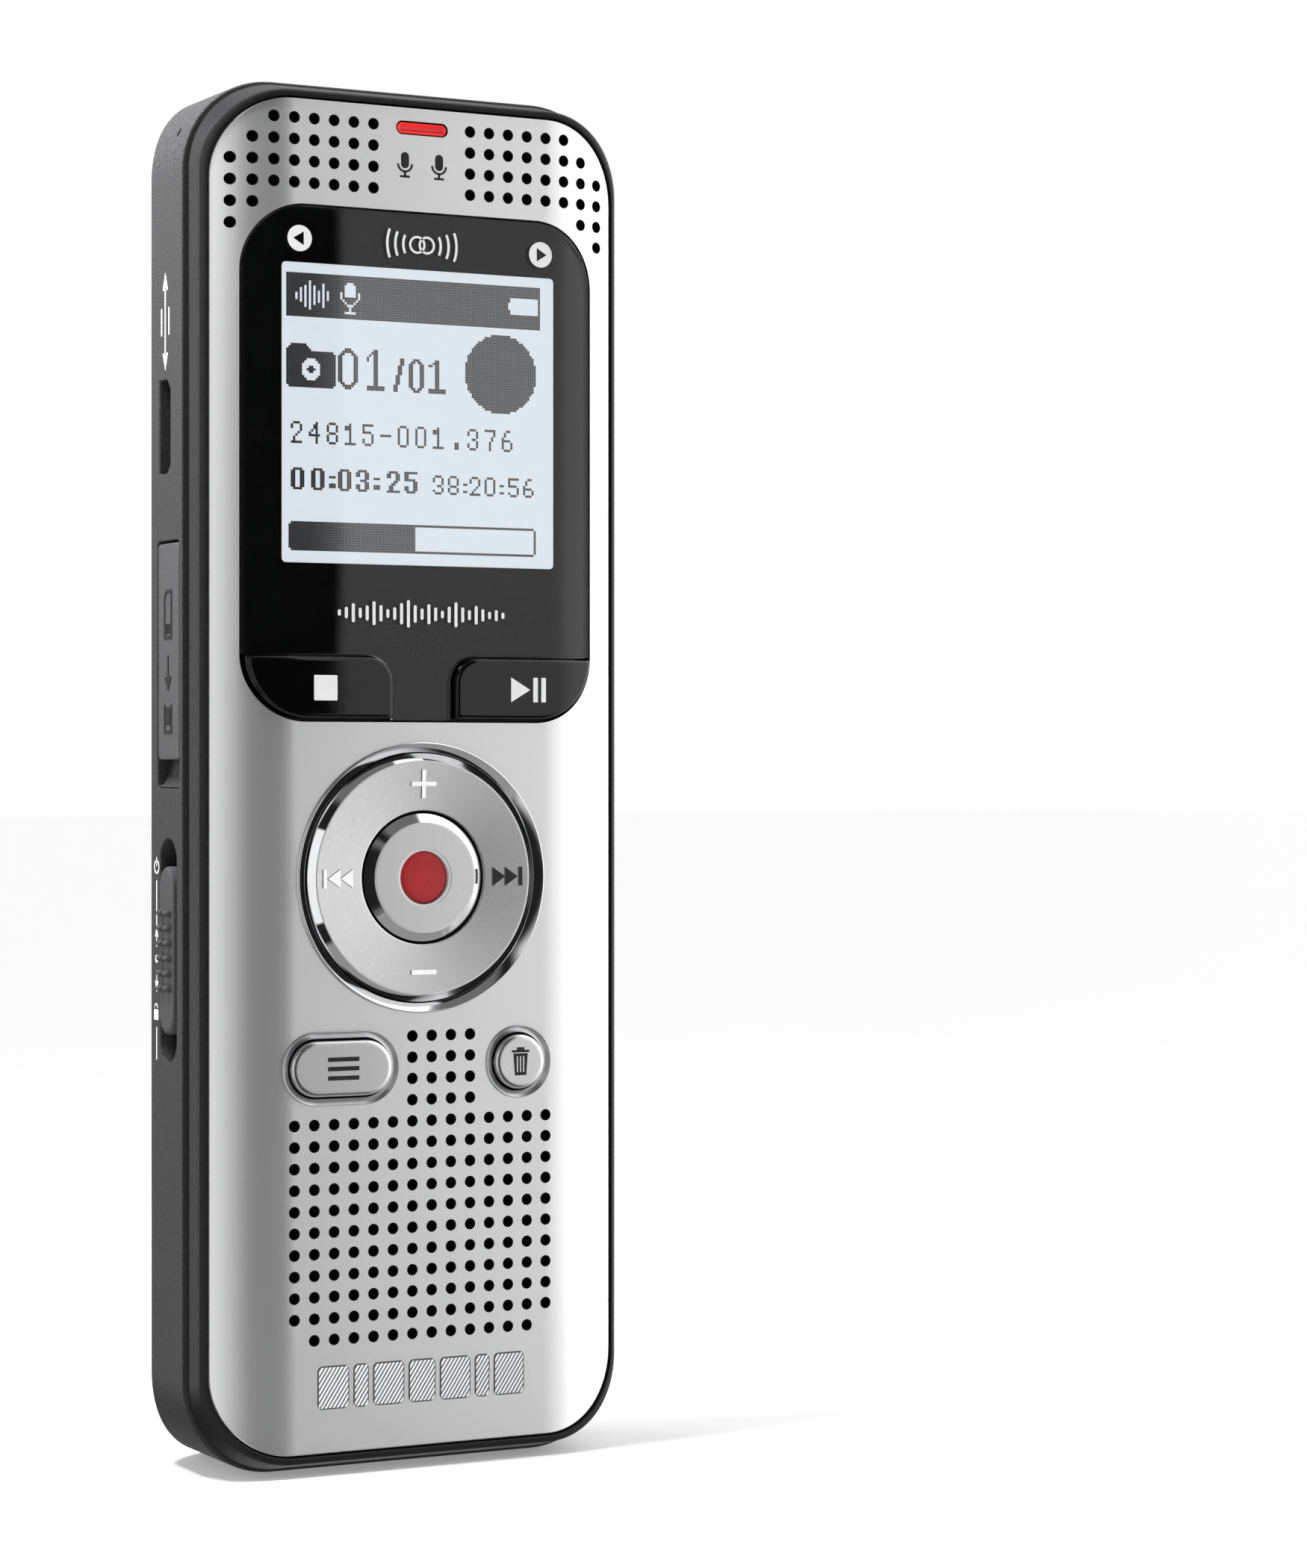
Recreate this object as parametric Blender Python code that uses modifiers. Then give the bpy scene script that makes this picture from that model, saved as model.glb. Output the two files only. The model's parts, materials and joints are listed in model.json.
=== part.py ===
"""Handheld voice recorder, standing upright: +Z along its length, its front facing -Y.

Sizes are in millimetres in the front view: x across, z up from the base, and w the depth
behind the flat middle of the silver front plate. MM turns them into Blender's metres.
"""

import math

import bmesh
import bpy
from mathutils import Vector

MM = 0.001

# Whole object
FACE_Y = -9.0  # world y of the flat middle of the front
MID_Z = 55.27  # half the overall height
GAP = 0.12  # visible gap between neighbouring front pieces
CORNER_STEPS = 6
ROUND_STEPS = 32

# Front surface: flat in the middle, then an arc down to each long side
FLAT_HALF = 11.05
SIDE_ARC_R = 15.3
SURFACE_HALF = 19.6

# Back surface: one arc across the width
BACK_W = 17.8
BACK_R = 28.86

# Rear shell
SHELL_HALF_X = 19.12
SHELL_R = 7.6
SHELL_WALL = 1.3
SHELL_FRONT_W = 3.55

# Front case: a thin rim round the plate and a band that widens towards the seam
CASE_PROUD = 0.2
CASE_FRONT_HALF_X = 17.87
CASE_FRONT_HALF_Z = 54.15
CASE_REAR_HALF_X = 18.73
CASE_REAR_HALF_Z = 55.04
CASE_REAR_W = 3.45
CASE_PANEL_FRONT = 0.95
CASE_PANEL_BACK = 1.75

# Front plate
PLATE_HALF_X = 17.69
PLATE_HALF_Z = 53.53
PLATE_R = 6.5
PLATE_THICK = 0.8

# Display window and the two corner buttons under it
LENS_HALF_X = 15.3
LENS_TOP_Z = 100.34
LENS_TOP_R = 5.24
LENS_LOW_Z = 59.78
LENS_LOW_R = 5.19
SPLIT_Z = 64.98
TONGUE_HALF_X = 2.57
KEY_GAP = 0.2
KEY_CORNER_R = 2.0
KEY_PROUD = 0.6
FLANGE_FRONT_W = 2.0
FLANGE_BACK_W = 2.3

# Display
GLASS_HALF_X = 13.3
GLASS_LOW_Z = 69.7
GLASS_TOP_Z = 97.6

# Navigation control
NAV_Z = 47.21
NAV_RING_R = 9.93
NAV_BORE_R = 5.35
RECORD_R = 5.1
RECORD_FACE = 0.62

# Menu and delete buttons
ROW_Z = 32.18
MENU_X = -7.02
MENU_LONG = 9.81
DELETE_X = 8.57
BEZEL_TALL = 5.72

# Record light
LIGHT_Z = 107.16
LIGHT_LONG = 4.5
LIGHT_TALL = 1.05

# Left side
USB_Z = 83.04
USB_LONG = 7.39
USB_FRONT_W = 6.06
USB_BACK_W = 8.45
CARD_LOW_Z = 54.37
CARD_DOOR_LOW_Z = 56.61
CARD_TOP_Z = 73.95
CARD_FRONT_W = 4.1
CARD_BACK_W = 8.85
HOLD_Z = 41.5
HOLD_W = 6.5
HOLD_SLOT_LONG = 17.67
HOLD_SLOT_WIDE = 3.55
HOLD_KNOB_LONG = 13.34
HOLD_KNOB_WIDE = 3.1

# Top end
JACK_X = 5.5
JACK_W = 7.5
JACK_BORE_R = 1.8

# Inside
SPEAKER_Z = 18.9
SPEAKER_R = 8.9
MIC_X = 8.6
MIC_Z = 104.7
BOARD_FRONT_W = 8.9
BOARD_BACK_W = 9.7
CELL_R = 5.25
CELL_X = 5.45
CELL_W = 10.6
CELL_LONG = 43.3
CELL_NUB = 1.2
SPRING_SMALL_R = 1.9
SPRING_WIDE_R = 3.4
SPRING_TURNS = 2.75
BAY_HALF_X = 12.6
BAY_LOW_Z = 5.4
BAY_TOP_Z = 56.25
TOP_SCREW_X = 13.8
TOP_SCREW_Z = 104.5
BAY_SCREW_Z = 31.0

MATERIALS = {
    "silver_paint": ((0.62, 0.62, 0.63), 0.35, 0.9),
    "black_case": ((0.022, 0.022, 0.024), 0.45, 0.0),
    "grey_shell": ((0.10, 0.10, 0.105), 0.5, 0.0),
    "gloss_black": ((0.01, 0.01, 0.012), 0.06, 0.0),
    "clear_window": ((0.03, 0.03, 0.035), 0.05, 0.0),
    "display_glass": ((0.75, 0.8, 0.86), 0.2, 0.0),
    "chrome": ((0.75, 0.75, 0.76), 0.12, 1.0),
    "silver_button": ((0.6, 0.6, 0.61), 0.3, 0.8),
    "red_plastic": ((0.5, 0.03, 0.04), 0.35, 0.0),
    "steel": ((0.5, 0.5, 0.52), 0.3, 1.0),
    "board_green": ((0.03, 0.16, 0.07), 0.45, 0.0),
    "chip_black": ((0.03, 0.03, 0.03), 0.5, 0.0),
    "rubber": ((0.04, 0.04, 0.04), 0.8, 0.0),
    "white_plastic": ((0.8, 0.8, 0.78), 0.4, 0.0),
    "cell_wrap": ((0.05, 0.18, 0.35), 0.35, 0.0),
    "paper_cone": ((0.08, 0.08, 0.08), 0.8, 0.0),
}


def clear_scene():
    for obj in list(bpy.data.objects):
        bpy.data.objects.remove(obj, do_unlink=True)


def make_collection(name, hidden=False):
    collection = bpy.data.collections.new(name)
    bpy.context.scene.collection.children.link(collection)
    collection.hide_render = hidden
    return collection


def make_material(name):
    colour, roughness, metallic = MATERIALS[name]
    material = bpy.data.materials.new(name)
    material.use_nodes = True
    shader = material.node_tree.nodes["Principled BSDF"]
    shader.inputs["Base Color"].default_value = (*colour, 1.0)
    shader.inputs["Roughness"].default_value = roughness
    shader.inputs["Metallic"].default_value = metallic
    return material


clear_scene()
PARTS = make_collection("voice_recorder")
CUTTERS = make_collection("voice_recorder_cutters", hidden=True)


def link(name, data, material=None):
    """Links the shape as a part with that material, or as a cutter when it has none."""
    obj = bpy.data.objects.new(name, data)
    if material:
        PARTS.objects.link(obj)
        data.materials.append(bpy.data.materials.get(material) or make_material(material))
    else:
        CUTTERS.objects.link(obj)
        obj.hide_render = True
        obj.display_type = "WIRE"
    return obj


def place(name, bm, material=None):
    bmesh.ops.recalc_face_normals(bm, faces=bm.faces)
    mesh = bpy.data.meshes.new(name)
    bm.to_mesh(mesh)
    bm.free()
    return link(name, mesh, material)


def extrude(name, points, offset, material=None):
    """A flat outline of points, in mm, extruded by an offset in mm."""
    bm = bmesh.new()
    face = bm.faces.new([bm.verts.new(Vector(p) * MM) for p in points])
    made = bmesh.ops.extrude_face_region(bm, geom=[face])
    moved = [v for v in made["geom"] if isinstance(v, bmesh.types.BMVert)]
    bmesh.ops.translate(bm, verts=moved, vec=Vector(offset) * MM)
    return place(name, bm, material)


def front_prism(name, outline, w_front, w_back, material=None):
    """An outline in the front view, extruded in depth."""
    points = [(x, FACE_Y + w_front, z) for x, z in outline]
    return extrude(name, points, (0, w_back - w_front, 0), material)


def side_prism(name, outline, x_low, x_high, material=None):
    """An outline of (w, z) in the side view, extruded across."""
    points = [(x_low, FACE_Y + w, z) for w, z in outline]
    return extrude(name, points, (x_high - x_low, 0, 0), material)


def plan_prism(name, outline, z_low, z_high, material=None):
    """An outline of (x, w) seen from above, extruded upwards."""
    points = [(x, FACE_Y + w, z_low) for x, w in outline]
    return extrude(name, points, (0, 0, z_high - z_low), material)


def turned(name, profile, x, z, material):
    """A profile of (radius, height in front of the face), turned about the depth axis."""
    mesh = bpy.data.meshes.new(name)
    edges = [(i, (i + 1) % len(profile)) for i in range(len(profile))]
    on_axis = [i for i, (r, _) in enumerate(profile) if r == 0]
    if len(on_axis) == 2:
        edges = [e for e in edges if set(e) != set(on_axis)]
    mesh.from_pydata([(r * MM, 0, h * MM) for r, h in profile], edges, [])
    obj = link(name, mesh, material)
    obj.location = Vector((x, FACE_Y, z)) * MM
    obj.rotation_euler = (math.radians(90), 0, 0)
    screw = obj.modifiers.new("turn", "SCREW")
    screw.steps = ROUND_STEPS
    screw.render_steps = ROUND_STEPS
    screw.use_merge_vertices = True
    screw.merge_threshold = 0.00001


def rod(name, radius, start, end, material=None, steps=ROUND_STEPS):
    """A round rod between two points given as (x, w, z)."""
    a = Vector((start[0], FACE_Y + start[1], start[2])) * MM
    b = Vector((end[0], FACE_Y + end[1], end[2])) * MM
    along = b - a
    bm = bmesh.new()
    bmesh.ops.create_cone(bm, cap_ends=True, segments=steps, radius1=radius * MM,
                          radius2=radius * MM, depth=along.length)
    bmesh.ops.rotate(bm, verts=bm.verts, matrix=along.to_track_quat("Z", "Y").to_matrix())
    bmesh.ops.translate(bm, verts=bm.verts, vec=(a + b) / 2)
    return place(name, bm, material)


def box(name, x, w, z, material=None):
    """A block from its (low, high) ranges."""
    outline = [(x[0], w[0]), (x[1], w[0]), (x[1], w[1]), (x[0], w[1])]
    return plan_prism(name, outline, z[0], z[1], material)


def boolean(obj, other, operation):
    modifier = obj.modifiers.new(f"{operation.lower()}_{other.name}", "BOOLEAN")
    modifier.operation = operation
    modifier.solver = "EXACT"
    modifier.object = other


def cut(obj, *others):
    for other in others:
        boolean(obj, other, "DIFFERENCE")


def join(obj, *others):
    for other in others:
        boolean(obj, other, "UNION")


def keep(obj, other):
    boolean(obj, other, "INTERSECT")


def arc(cx, cy, r, start, end, steps=CORNER_STEPS):
    """Points of an arc from one angle to another, in degrees."""
    angles = [math.radians(start + (end - start) * i / steps) for i in range(steps + 1)]
    return [(cx + r * math.cos(a), cy + r * math.sin(a)) for a in angles]


def rounded(cx, cy, wide, tall, r, steps=CORNER_STEPS):
    """A rectangle with round corners, anticlockwise from its right side."""
    dx = wide / 2 - r
    dy = tall / 2 - r
    outline = []
    for sx, sy, start in ((1, 1, 0), (-1, 1, 90), (-1, -1, 180), (1, -1, 270)):
        outline += arc(cx + sx * dx, cy + sy * dy, r, start, start + 90, steps)
    merged = []
    for point in outline:
        if not merged or math.dist(point, merged[-1]) > 0.001:
            merged.append(point)
    if math.dist(merged[0], merged[-1]) < 0.001:
        merged.pop()
    return merged


def pill(cx, cy, wide, tall, steps=8):
    return rounded(cx, cy, wide, tall, min(wide, tall) / 2 - 0.0005, steps)


def front_curve(depth):
    """The front surface, offset inwards by a depth, as (x, w) from left to right."""
    r = SIDE_ARC_R - depth
    reach = math.degrees(math.asin((SURFACE_HALF - FLAT_HALF) / r))
    right = arc(FLAT_HALF, SIDE_ARC_R, r, -90, -90 + reach, 8)
    left = [(-x, w) for x, w in reversed(right)]
    return left + right


def front_slab(name, outer, inner=None):
    """The space between two offsets of the front surface, or all that is behind one."""
    back = front_curve(inner) if inner is not None else [(-SURFACE_HALF, 12), (SURFACE_HALF, 12)]
    outline = front_curve(outer) + list(reversed(back))
    return plan_prism(name, outline, -2, 2 * MID_Z + 2)


def back_curve(depth):
    """The back surface, offset inwards by a depth, as (x, w) from left to right."""
    r = BACK_R - depth
    reach = math.degrees(math.asin(SURFACE_HALF / r))
    return arc(0, BACK_W - BACK_R, r, 90 + reach, 90 - reach, 24)


def back_slab(name, outer, inner=None):
    """What is in front of an offset of the back surface, or between two offsets."""
    front = back_curve(inner) if inner is not None else [(-SURFACE_HALF, -2), (SURFACE_HALF, -2)]
    return plan_prism(name, back_curve(outer) + list(reversed(front)), -2, 2 * MID_Z + 2)


def lens_field(grow):
    """Outline of the whole display window with the two buttons under it."""
    half = LENS_HALF_X + grow
    low = arc(LENS_HALF_X - LENS_LOW_R, LENS_LOW_Z + LENS_LOW_R, LENS_LOW_R + grow, -90, 0)
    top = arc(LENS_HALF_X - LENS_TOP_R, LENS_TOP_Z - LENS_TOP_R, LENS_TOP_R + grow, 0, 90)
    right = low + [(half, SPLIT_Z + 1)] + top
    return right + [(-x, z) for x, z in reversed(right)]


def lens_outline():
    """The window alone: it runs down between the buttons as a tongue."""
    corner_x = TONGUE_HALF_X + KEY_GAP + KEY_CORNER_R
    corner_z = SPLIT_Z - KEY_GAP - KEY_CORNER_R
    right = [(TONGUE_HALF_X, LENS_LOW_Z)]
    right += arc(corner_x, corner_z, KEY_CORNER_R + KEY_GAP, 180, 90)
    right += [(LENS_HALF_X, SPLIT_Z)]
    right += arc(LENS_HALF_X - LENS_TOP_R, LENS_TOP_Z - LENS_TOP_R, LENS_TOP_R, 0, 90)
    return right + [(-x, z) for x, z in reversed(right)]


def key_outline(side, shrink=0.0):
    """One corner button: side is -1 for stop and 1 for play."""
    outer_r = LENS_LOW_R - 0.15 - shrink
    low_z = LENS_LOW_Z + 0.15 + shrink
    top_z = SPLIT_Z - KEY_GAP - shrink
    inner_x = TONGUE_HALF_X + KEY_GAP + shrink
    centre_x = LENS_HALF_X - LENS_LOW_R
    rise = math.degrees(math.asin((top_z - LENS_LOW_Z - LENS_LOW_R) / outer_r))
    outline = [(inner_x, low_z)]
    outline += arc(centre_x, LENS_LOW_Z + LENS_LOW_R, outer_r, -90, rise)
    outline += arc(inner_x + KEY_CORNER_R, top_z - KEY_CORNER_R, KEY_CORNER_R, 90, 180)
    return [(side * x, z) for x, z in outline]


def lofted(low, high, w_low, w_high):
    """A solid between two outlines of as many points, one in front of the other."""
    bm = bmesh.new()
    rings = []
    for outline, w in ((low, w_low), (high, w_high)):
        rings.append([bm.verts.new(Vector((x, FACE_Y + w, z)) * MM) for x, z in outline])
    for ring in rings:
        bm.faces.new(ring)
    bmesh.ops.bridge_loops(bm, edges=list(bm.edges))
    return bm


def build_front_case():
    low = rounded(0, MID_Z, 2 * CASE_FRONT_HALF_X, 2 * CASE_FRONT_HALF_Z, 6.6)
    high = rounded(0, MID_Z, 2 * CASE_REAR_HALF_X, 2 * CASE_REAR_HALF_Z, 7.3)
    case = place("front_case", lofted(low, high, -CASE_PROUD, CASE_REAR_W), "black_case")
    keep(case, front_slab("case_space", -CASE_PROUD))
    recess_outline = rounded(0, MID_Z, 2 * (PLATE_HALF_X + GAP), 2 * (PLATE_HALF_Z + GAP), PLATE_R + GAP)
    recess = front_prism("plate_recess", recess_outline, -3, 8)
    keep(recess, front_slab("before_panel", -3, CASE_PANEL_FRONT))
    cavity = front_prism("case_cavity", rounded(0, MID_Z, 33.8, 106.4, 5.6), -3, 8)
    keep(cavity, front_slab("behind_panel", CASE_PANEL_BACK))
    cut(case, recess, cavity)
    boss_space = front_slab("case_boss_space", CASE_PANEL_FRONT + 0.3)
    for side in (-1, 1):
        x = side * TOP_SCREW_X
        boss = rod(f"case_boss_{side}", 2.2, (x, 0, TOP_SCREW_Z), (x, 4.0, TOP_SCREW_Z), steps=20)
        keep(boss, boss_space)
        join(case, boss)
        cut(case, rod(f"case_pilot_{side}", 0.95, (x, 2.4, TOP_SCREW_Z), (x, 5.0, TOP_SCREW_Z), steps=16))
        cut(case, rod(f"mic_port_{side}", 1.6, (side * MIC_X, -1, MIC_Z), (side * MIC_X, 3, MIC_Z), steps=16))
        cut(case, front_prism(f"key_port_{side}", key_outline(side, -0.15), -3, 8))
    join(case, rod("bay_boss", 1.9, (0, 1.6, BAY_SCREW_Z), (0, 2.8, BAY_SCREW_Z), steps=20))
    cut(case, rod("bay_pilot", 0.95, (0, 1.9, BAY_SCREW_Z), (0, 4.0, BAY_SCREW_Z), steps=16))
    window_mid = (GLASS_LOW_Z + GLASS_TOP_Z) / 2
    window_tall = GLASS_TOP_Z - GLASS_LOW_Z + 0.3
    window = rounded(0, window_mid, 2 * GLASS_HALF_X + 0.3, window_tall, 0.5, 2)
    cut(case, front_prism("glass_port", window, -3, 3))
    cut(case, rod("nav_port", NAV_RING_R + 0.2, (0, -1, NAV_Z), (0, 3, NAV_Z)))
    cut(case, rod("speaker_port", SPEAKER_R + 0.4, (0, -1, SPEAKER_Z), (0, 3, SPEAKER_Z)))
    cut(case, front_prism("menu_port", pill(MENU_X, ROW_Z, 8.8, 4.75), -1, 3))
    cut(case, front_prism("delete_port", pill(DELETE_X, ROW_Z, 4.75, 4.75), -1, 3))
    cut(case, front_prism("light_port", pill(0, LIGHT_Z, LIGHT_LONG, LIGHT_TALL), -1, 3))


def build_front_plate():
    outline = rounded(0, MID_Z, 2 * PLATE_HALF_X, 2 * PLATE_HALF_Z, PLATE_R)
    plate = front_prism("front_plate", outline, -3, 8, "silver_paint")
    keep(plate, front_slab("plate_space", 0, PLATE_THICK))
    cut(plate, front_prism("lens_hole", lens_field(GAP), -3, 8))
    cut(plate, rod("nav_hole", NAV_RING_R + 0.7, (0, -1, NAV_Z), (0, 3, NAV_Z)))
    cut(plate, front_prism("menu_hole", pill(MENU_X, ROW_Z, MENU_LONG - 0.3, BEZEL_TALL - 0.3), -1, 3))
    cut(plate, front_prism("delete_hole", pill(DELETE_X, ROW_Z, BEZEL_TALL - 0.3, BEZEL_TALL - 0.3), -1, 3))
    cut(plate, front_prism("light_hole", pill(0, LIGHT_Z, LIGHT_LONG, LIGHT_TALL), -1, 3))


def build_display():
    lens = front_prism("display_lens", lens_outline(), -3, 8, "clear_window")
    keep(lens, front_slab("lens_space", 0, PLATE_THICK))
    glass_z = (GLASS_LOW_Z, GLASS_TOP_Z)
    box("lcd_glass", (-GLASS_HALF_X, GLASS_HALF_X), (1.1, 2.6), glass_z, "display_glass")
    box("backlight_guide", (-13.0, 13.0), (2.75, 3.95), (70.0, 97.3), "white_plastic")
    holder_mid = (GLASS_LOW_Z + GLASS_TOP_Z) / 2
    holder = front_prism("lcd_holder", rounded(0, holder_mid, 28.8, 30.5, 0.8, 3), 2.35, 4.9, "white_plastic")
    cut(holder, box("holder_cavity", (-13.45, 13.45), (1, 4.1), (69.55, 97.75)))


def build_corner_keys():
    for name, side in (("stop_button", -1), ("play_button", 1)):
        key = front_prism(name, key_outline(side), -3, FLANGE_BACK_W, "gloss_black")
        keep(key, front_slab(f"{name}_space", -KEY_PROUD))
        x_range = sorted((side * 1.7, side * 11.0))
        join(key, box(f"{name}_flange", x_range, (FLANGE_FRONT_W, FLANGE_BACK_W), (59.2, 65.6)))


def build_navigation():
    bezel = [(10.6, 0.22), (10.83, 0.12), (10.83, 0.03), (10.5, 0.03), (10.5, -0.9), (10.13, -0.9),
             (10.13, -0.3)]
    turned("nav_bezel", bezel, 0, NAV_Z, "chrome")
    ring = [(NAV_BORE_R, 0.35), (9.35, 0.35), (NAV_RING_R, -0.2), (NAV_RING_R, -2.15), (10.4, -2.15),
            (10.4, -2.3), (NAV_BORE_R, -2.3)]
    turned("nav_ring", ring, 0, NAV_Z, "silver_button")
    cushion = [(5.6, -2.52), (6.4, -2.52), (6.4, -2.72), (5.6, -2.72)]
    turned("nav_cushion", cushion, 0, NAV_Z, "rubber")
    record = [(0, -0.1), (2.2, -0.1), (2.2, RECORD_FACE), (4.4, RECORD_FACE), (RECORD_R, 0.1),
              (RECORD_R, -2.35), (0, -2.35)]
    turned("record_button", record, 0, NAV_Z, "silver_button")
    dot = [(0, 0.14), (1.95, 0.14), (2.08, 0.04), (2.08, -0.05), (0, -0.05)]
    turned("record_dot", dot, 0, NAV_Z, "red_plastic")


def build_row_button(name, x, long):
    """A bezel with a lip over the plate, and the push button inside it."""
    bezel = front_prism(f"{name}_bezel", pill(x, ROW_Z, long, BEZEL_TALL), -0.2, -0.03, "chrome")
    body = front_prism(f"{name}_bezel_body", pill(x, ROW_Z, long - 0.5, BEZEL_TALL - 0.5), -0.1, 0.9)
    join(bezel, body)
    cut(bezel, front_prism(f"{name}_bezel_hole", pill(x, ROW_Z, long - 1.05, BEZEL_TALL - 1.05), -1, 3))
    button_long = long - 1.3
    button_tall = BEZEL_TALL - 1.3
    button = front_prism(f"{name}_button", pill(x, ROW_Z, button_long, button_tall), -0.45, FLANGE_BACK_W,
                         "silver_button")
    bevel = button.modifiers.new("soft_edge", "BEVEL")
    bevel.width = 0.25 * MM
    bevel.segments = 2
    bevel.limit_method = "ANGLE"
    bevel.angle_limit = math.radians(60)
    flange = pill(x, ROW_Z, button_long + 1.2, button_tall + 1.2)
    join(button, front_prism(f"{name}_flange", flange, FLANGE_FRONT_W, FLANGE_BACK_W))


def build_light():
    light = front_prism("record_light", pill(0, LIGHT_Z, LIGHT_LONG - 0.16, LIGHT_TALL - 0.14), 0.05, 8.0,
                        "red_plastic")
    cut(light, front_prism("light_dish", pill(0, LIGHT_Z, 3.9, 0.62), -1, 0.45))
    box("light_led", (-0.8, 0.8), (8.2, 8.8), (106.4, 107.9), "white_plastic")


def build_rear_shell():
    outline = rounded(0, MID_Z, 2 * SHELL_HALF_X, 2 * MID_Z, SHELL_R)
    shell = front_prism("rear_shell", outline, SHELL_FRONT_W, 22, "grey_shell")
    keep(shell, back_slab("shell_outside", 0))
    inner = rounded(0, MID_Z, 2 * (SHELL_HALF_X - SHELL_WALL), 2 * (MID_Z - SHELL_WALL), SHELL_R - SHELL_WALL)
    cavity = front_prism("shell_cavity", inner, 0, 22)
    keep(cavity, back_slab("shell_inside", SHELL_WALL))
    cut(shell, cavity)
    inside = back_slab("boss_space", 0.2)
    for side in (-1, 1):
        x = side * TOP_SCREW_X
        boss = rod(f"shell_boss_{side}", 2.3, (x, 4.2, TOP_SCREW_Z), (x, 20, TOP_SCREW_Z), steps=20)
        keep(boss, inside)
        join(shell, boss)
        cut(shell, rod(f"shell_screw_hole_{side}", 1.05, (x, 3, TOP_SCREW_Z), (x, 20, TOP_SCREW_Z), steps=16))
        cut(shell, rod(f"shell_head_hole_{side}", 1.75, (x, 11.8, TOP_SCREW_Z), (x, 20, TOP_SCREW_Z),
                       steps=20))
        cut(shell, rod(f"jack_hole_{side}", 3.05, (side * JACK_X, JACK_W, 105), (side * JACK_X, JACK_W, 115),
                       steps=24))
    left = (-SHELL_HALF_X - 1, -SHELL_HALF_X + SHELL_WALL + 1)
    cut(shell, side_prism("usb_hole", usb_outline(0), *left))
    card_mid = (CARD_LOW_Z + CARD_TOP_Z) / 2
    card_wide = CARD_BACK_W - CARD_FRONT_W
    card = rounded((CARD_FRONT_W + CARD_BACK_W) / 2, card_mid, card_wide, CARD_TOP_Z - CARD_LOW_Z, 0.5, 3)
    cut(shell, side_prism("card_hole", card, *left))
    cut(shell, side_prism("hold_hole", pill(HOLD_W, HOLD_Z, HOLD_SLOT_WIDE, HOLD_SLOT_LONG), *left))
    bay_mid = (BAY_LOW_Z + BAY_TOP_Z) / 2
    bay = rounded(0, bay_mid, 2 * BAY_HALF_X, BAY_TOP_Z - BAY_LOW_Z, 1.2, 3)
    cut(shell, front_prism("bay_hole", bay, 11, 22))
    cut(shell, rod("strap_hole", 0.45, (-20, 6.2, 107.1), (-14.5, 6.2, 104.7), steps=12))


def usb_outline(grow):
    """Micro-USB shape in the side view: two corners are cut off on its front side."""
    top = USB_Z + USB_LONG / 2 + grow
    low = USB_Z - USB_LONG / 2 - grow
    front = USB_FRONT_W - grow
    back = USB_BACK_W + grow
    return [(back, low), (back, top), (front + 0.75, top), (front, top - 0.8), (front, low + 0.8),
            (front + 0.75, low)]


def build_battery_door():
    door_mid = (BAY_LOW_Z + BAY_TOP_Z - 0.15) / 2
    outline = rounded(0, door_mid, 2 * BAY_HALF_X - 0.3, BAY_TOP_Z - BAY_LOW_Z - 0.45, 1.1, 3)
    door = front_prism("battery_door", outline, 11, 22, "grey_shell")
    keep(door, back_slab("door_space", 0, 1.1))
    grip = front_prism("door_grip", pill(0, 51.5, 11, 1.6), BACK_W - 0.6, BACK_W + 2)
    cut(door, grip)


def build_left_side():
    wall = SHELL_HALF_X
    door_mid = (CARD_DOOR_LOW_Z + CARD_TOP_Z - 0.15) / 2
    door_wide = CARD_BACK_W - CARD_FRONT_W - 0.25
    door = rounded((CARD_FRONT_W + CARD_BACK_W) / 2 - 0.03, door_mid, door_wide,
                   CARD_TOP_Z - 0.15 - CARD_DOOR_LOW_Z, 0.4, 3)
    side_prism("card_door", door, -wall, -wall + 1.0, "grey_shell")
    knob = side_prism("hold_slider", pill(HOLD_W, HOLD_Z, HOLD_KNOB_WIDE, HOLD_KNOB_LONG), -wall - 0.2,
                      -wall + 1.7, "grey_shell")
    flange = box("hold_flange", (-wall + 1.5, -wall + 2.2), (4.5, 8.5), (HOLD_Z - 10.9, HOLD_Z + 10.9))
    join(knob, flange)
    for i in range(6):
        z = HOLD_Z + (i - 2.5) * 1.194
        join(knob, box(f"hold_rib_{i}", (-wall - 0.68, -wall), (5.4, 7.6), (z - 0.3, z + 0.3)))
    stem = (-wall + 2.25, -wall + 3.9)
    box("switch_stem", stem, (6.1, 6.9), (HOLD_Z - 0.9, HOLD_Z + 0.9), "white_plastic")
    switch = box("slide_switch", (-16.4, -12.6), (4.7, 8.75), (HOLD_Z - 4.8, HOLD_Z + 4.8), "steel")
    cut(switch, box("switch_slot", (-17, -14.9), (5.9, 7.1), (HOLD_Z - 3.3, HOLD_Z + 3.3)))
    usb = side_prism("usb_socket", usb_outline(0.1), -17.55, -12.6, "steel")
    cut(usb, side_prism("usb_cavity", usb_outline(-0.2), -20, -13.1))
    side_prism("usb_tongue", rounded(7.2, USB_Z, 0.6, 4.2, 0.1, 1), -17.1, -13.15, "chip_black")
    card = box("card_socket", (-17.0, -2.6), (6.8, 8.7), (58.9, 71.5), "steel")
    cut(card, box("card_slot", (-20, -3.2), (7.15, 8.25), (59.5, 70.9)))


def build_jacks():
    for name, side in (("earphone_jack", 1), ("microphone_jack", -1)):
        x = side * JACK_X
        jack = box(name, (x - 2.9, x + 2.9), (5.0, 10.0), (97.0, 108.9), "chip_black")
        join(jack, rod(f"{name}_nose", 2.9, (x, JACK_W, 108), (x, JACK_W, 110.3), steps=24))
        cut(jack, rod(f"{name}_bore", JACK_BORE_R, (x, JACK_W, 98.5), (x, JACK_W, 112), steps=20))


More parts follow.
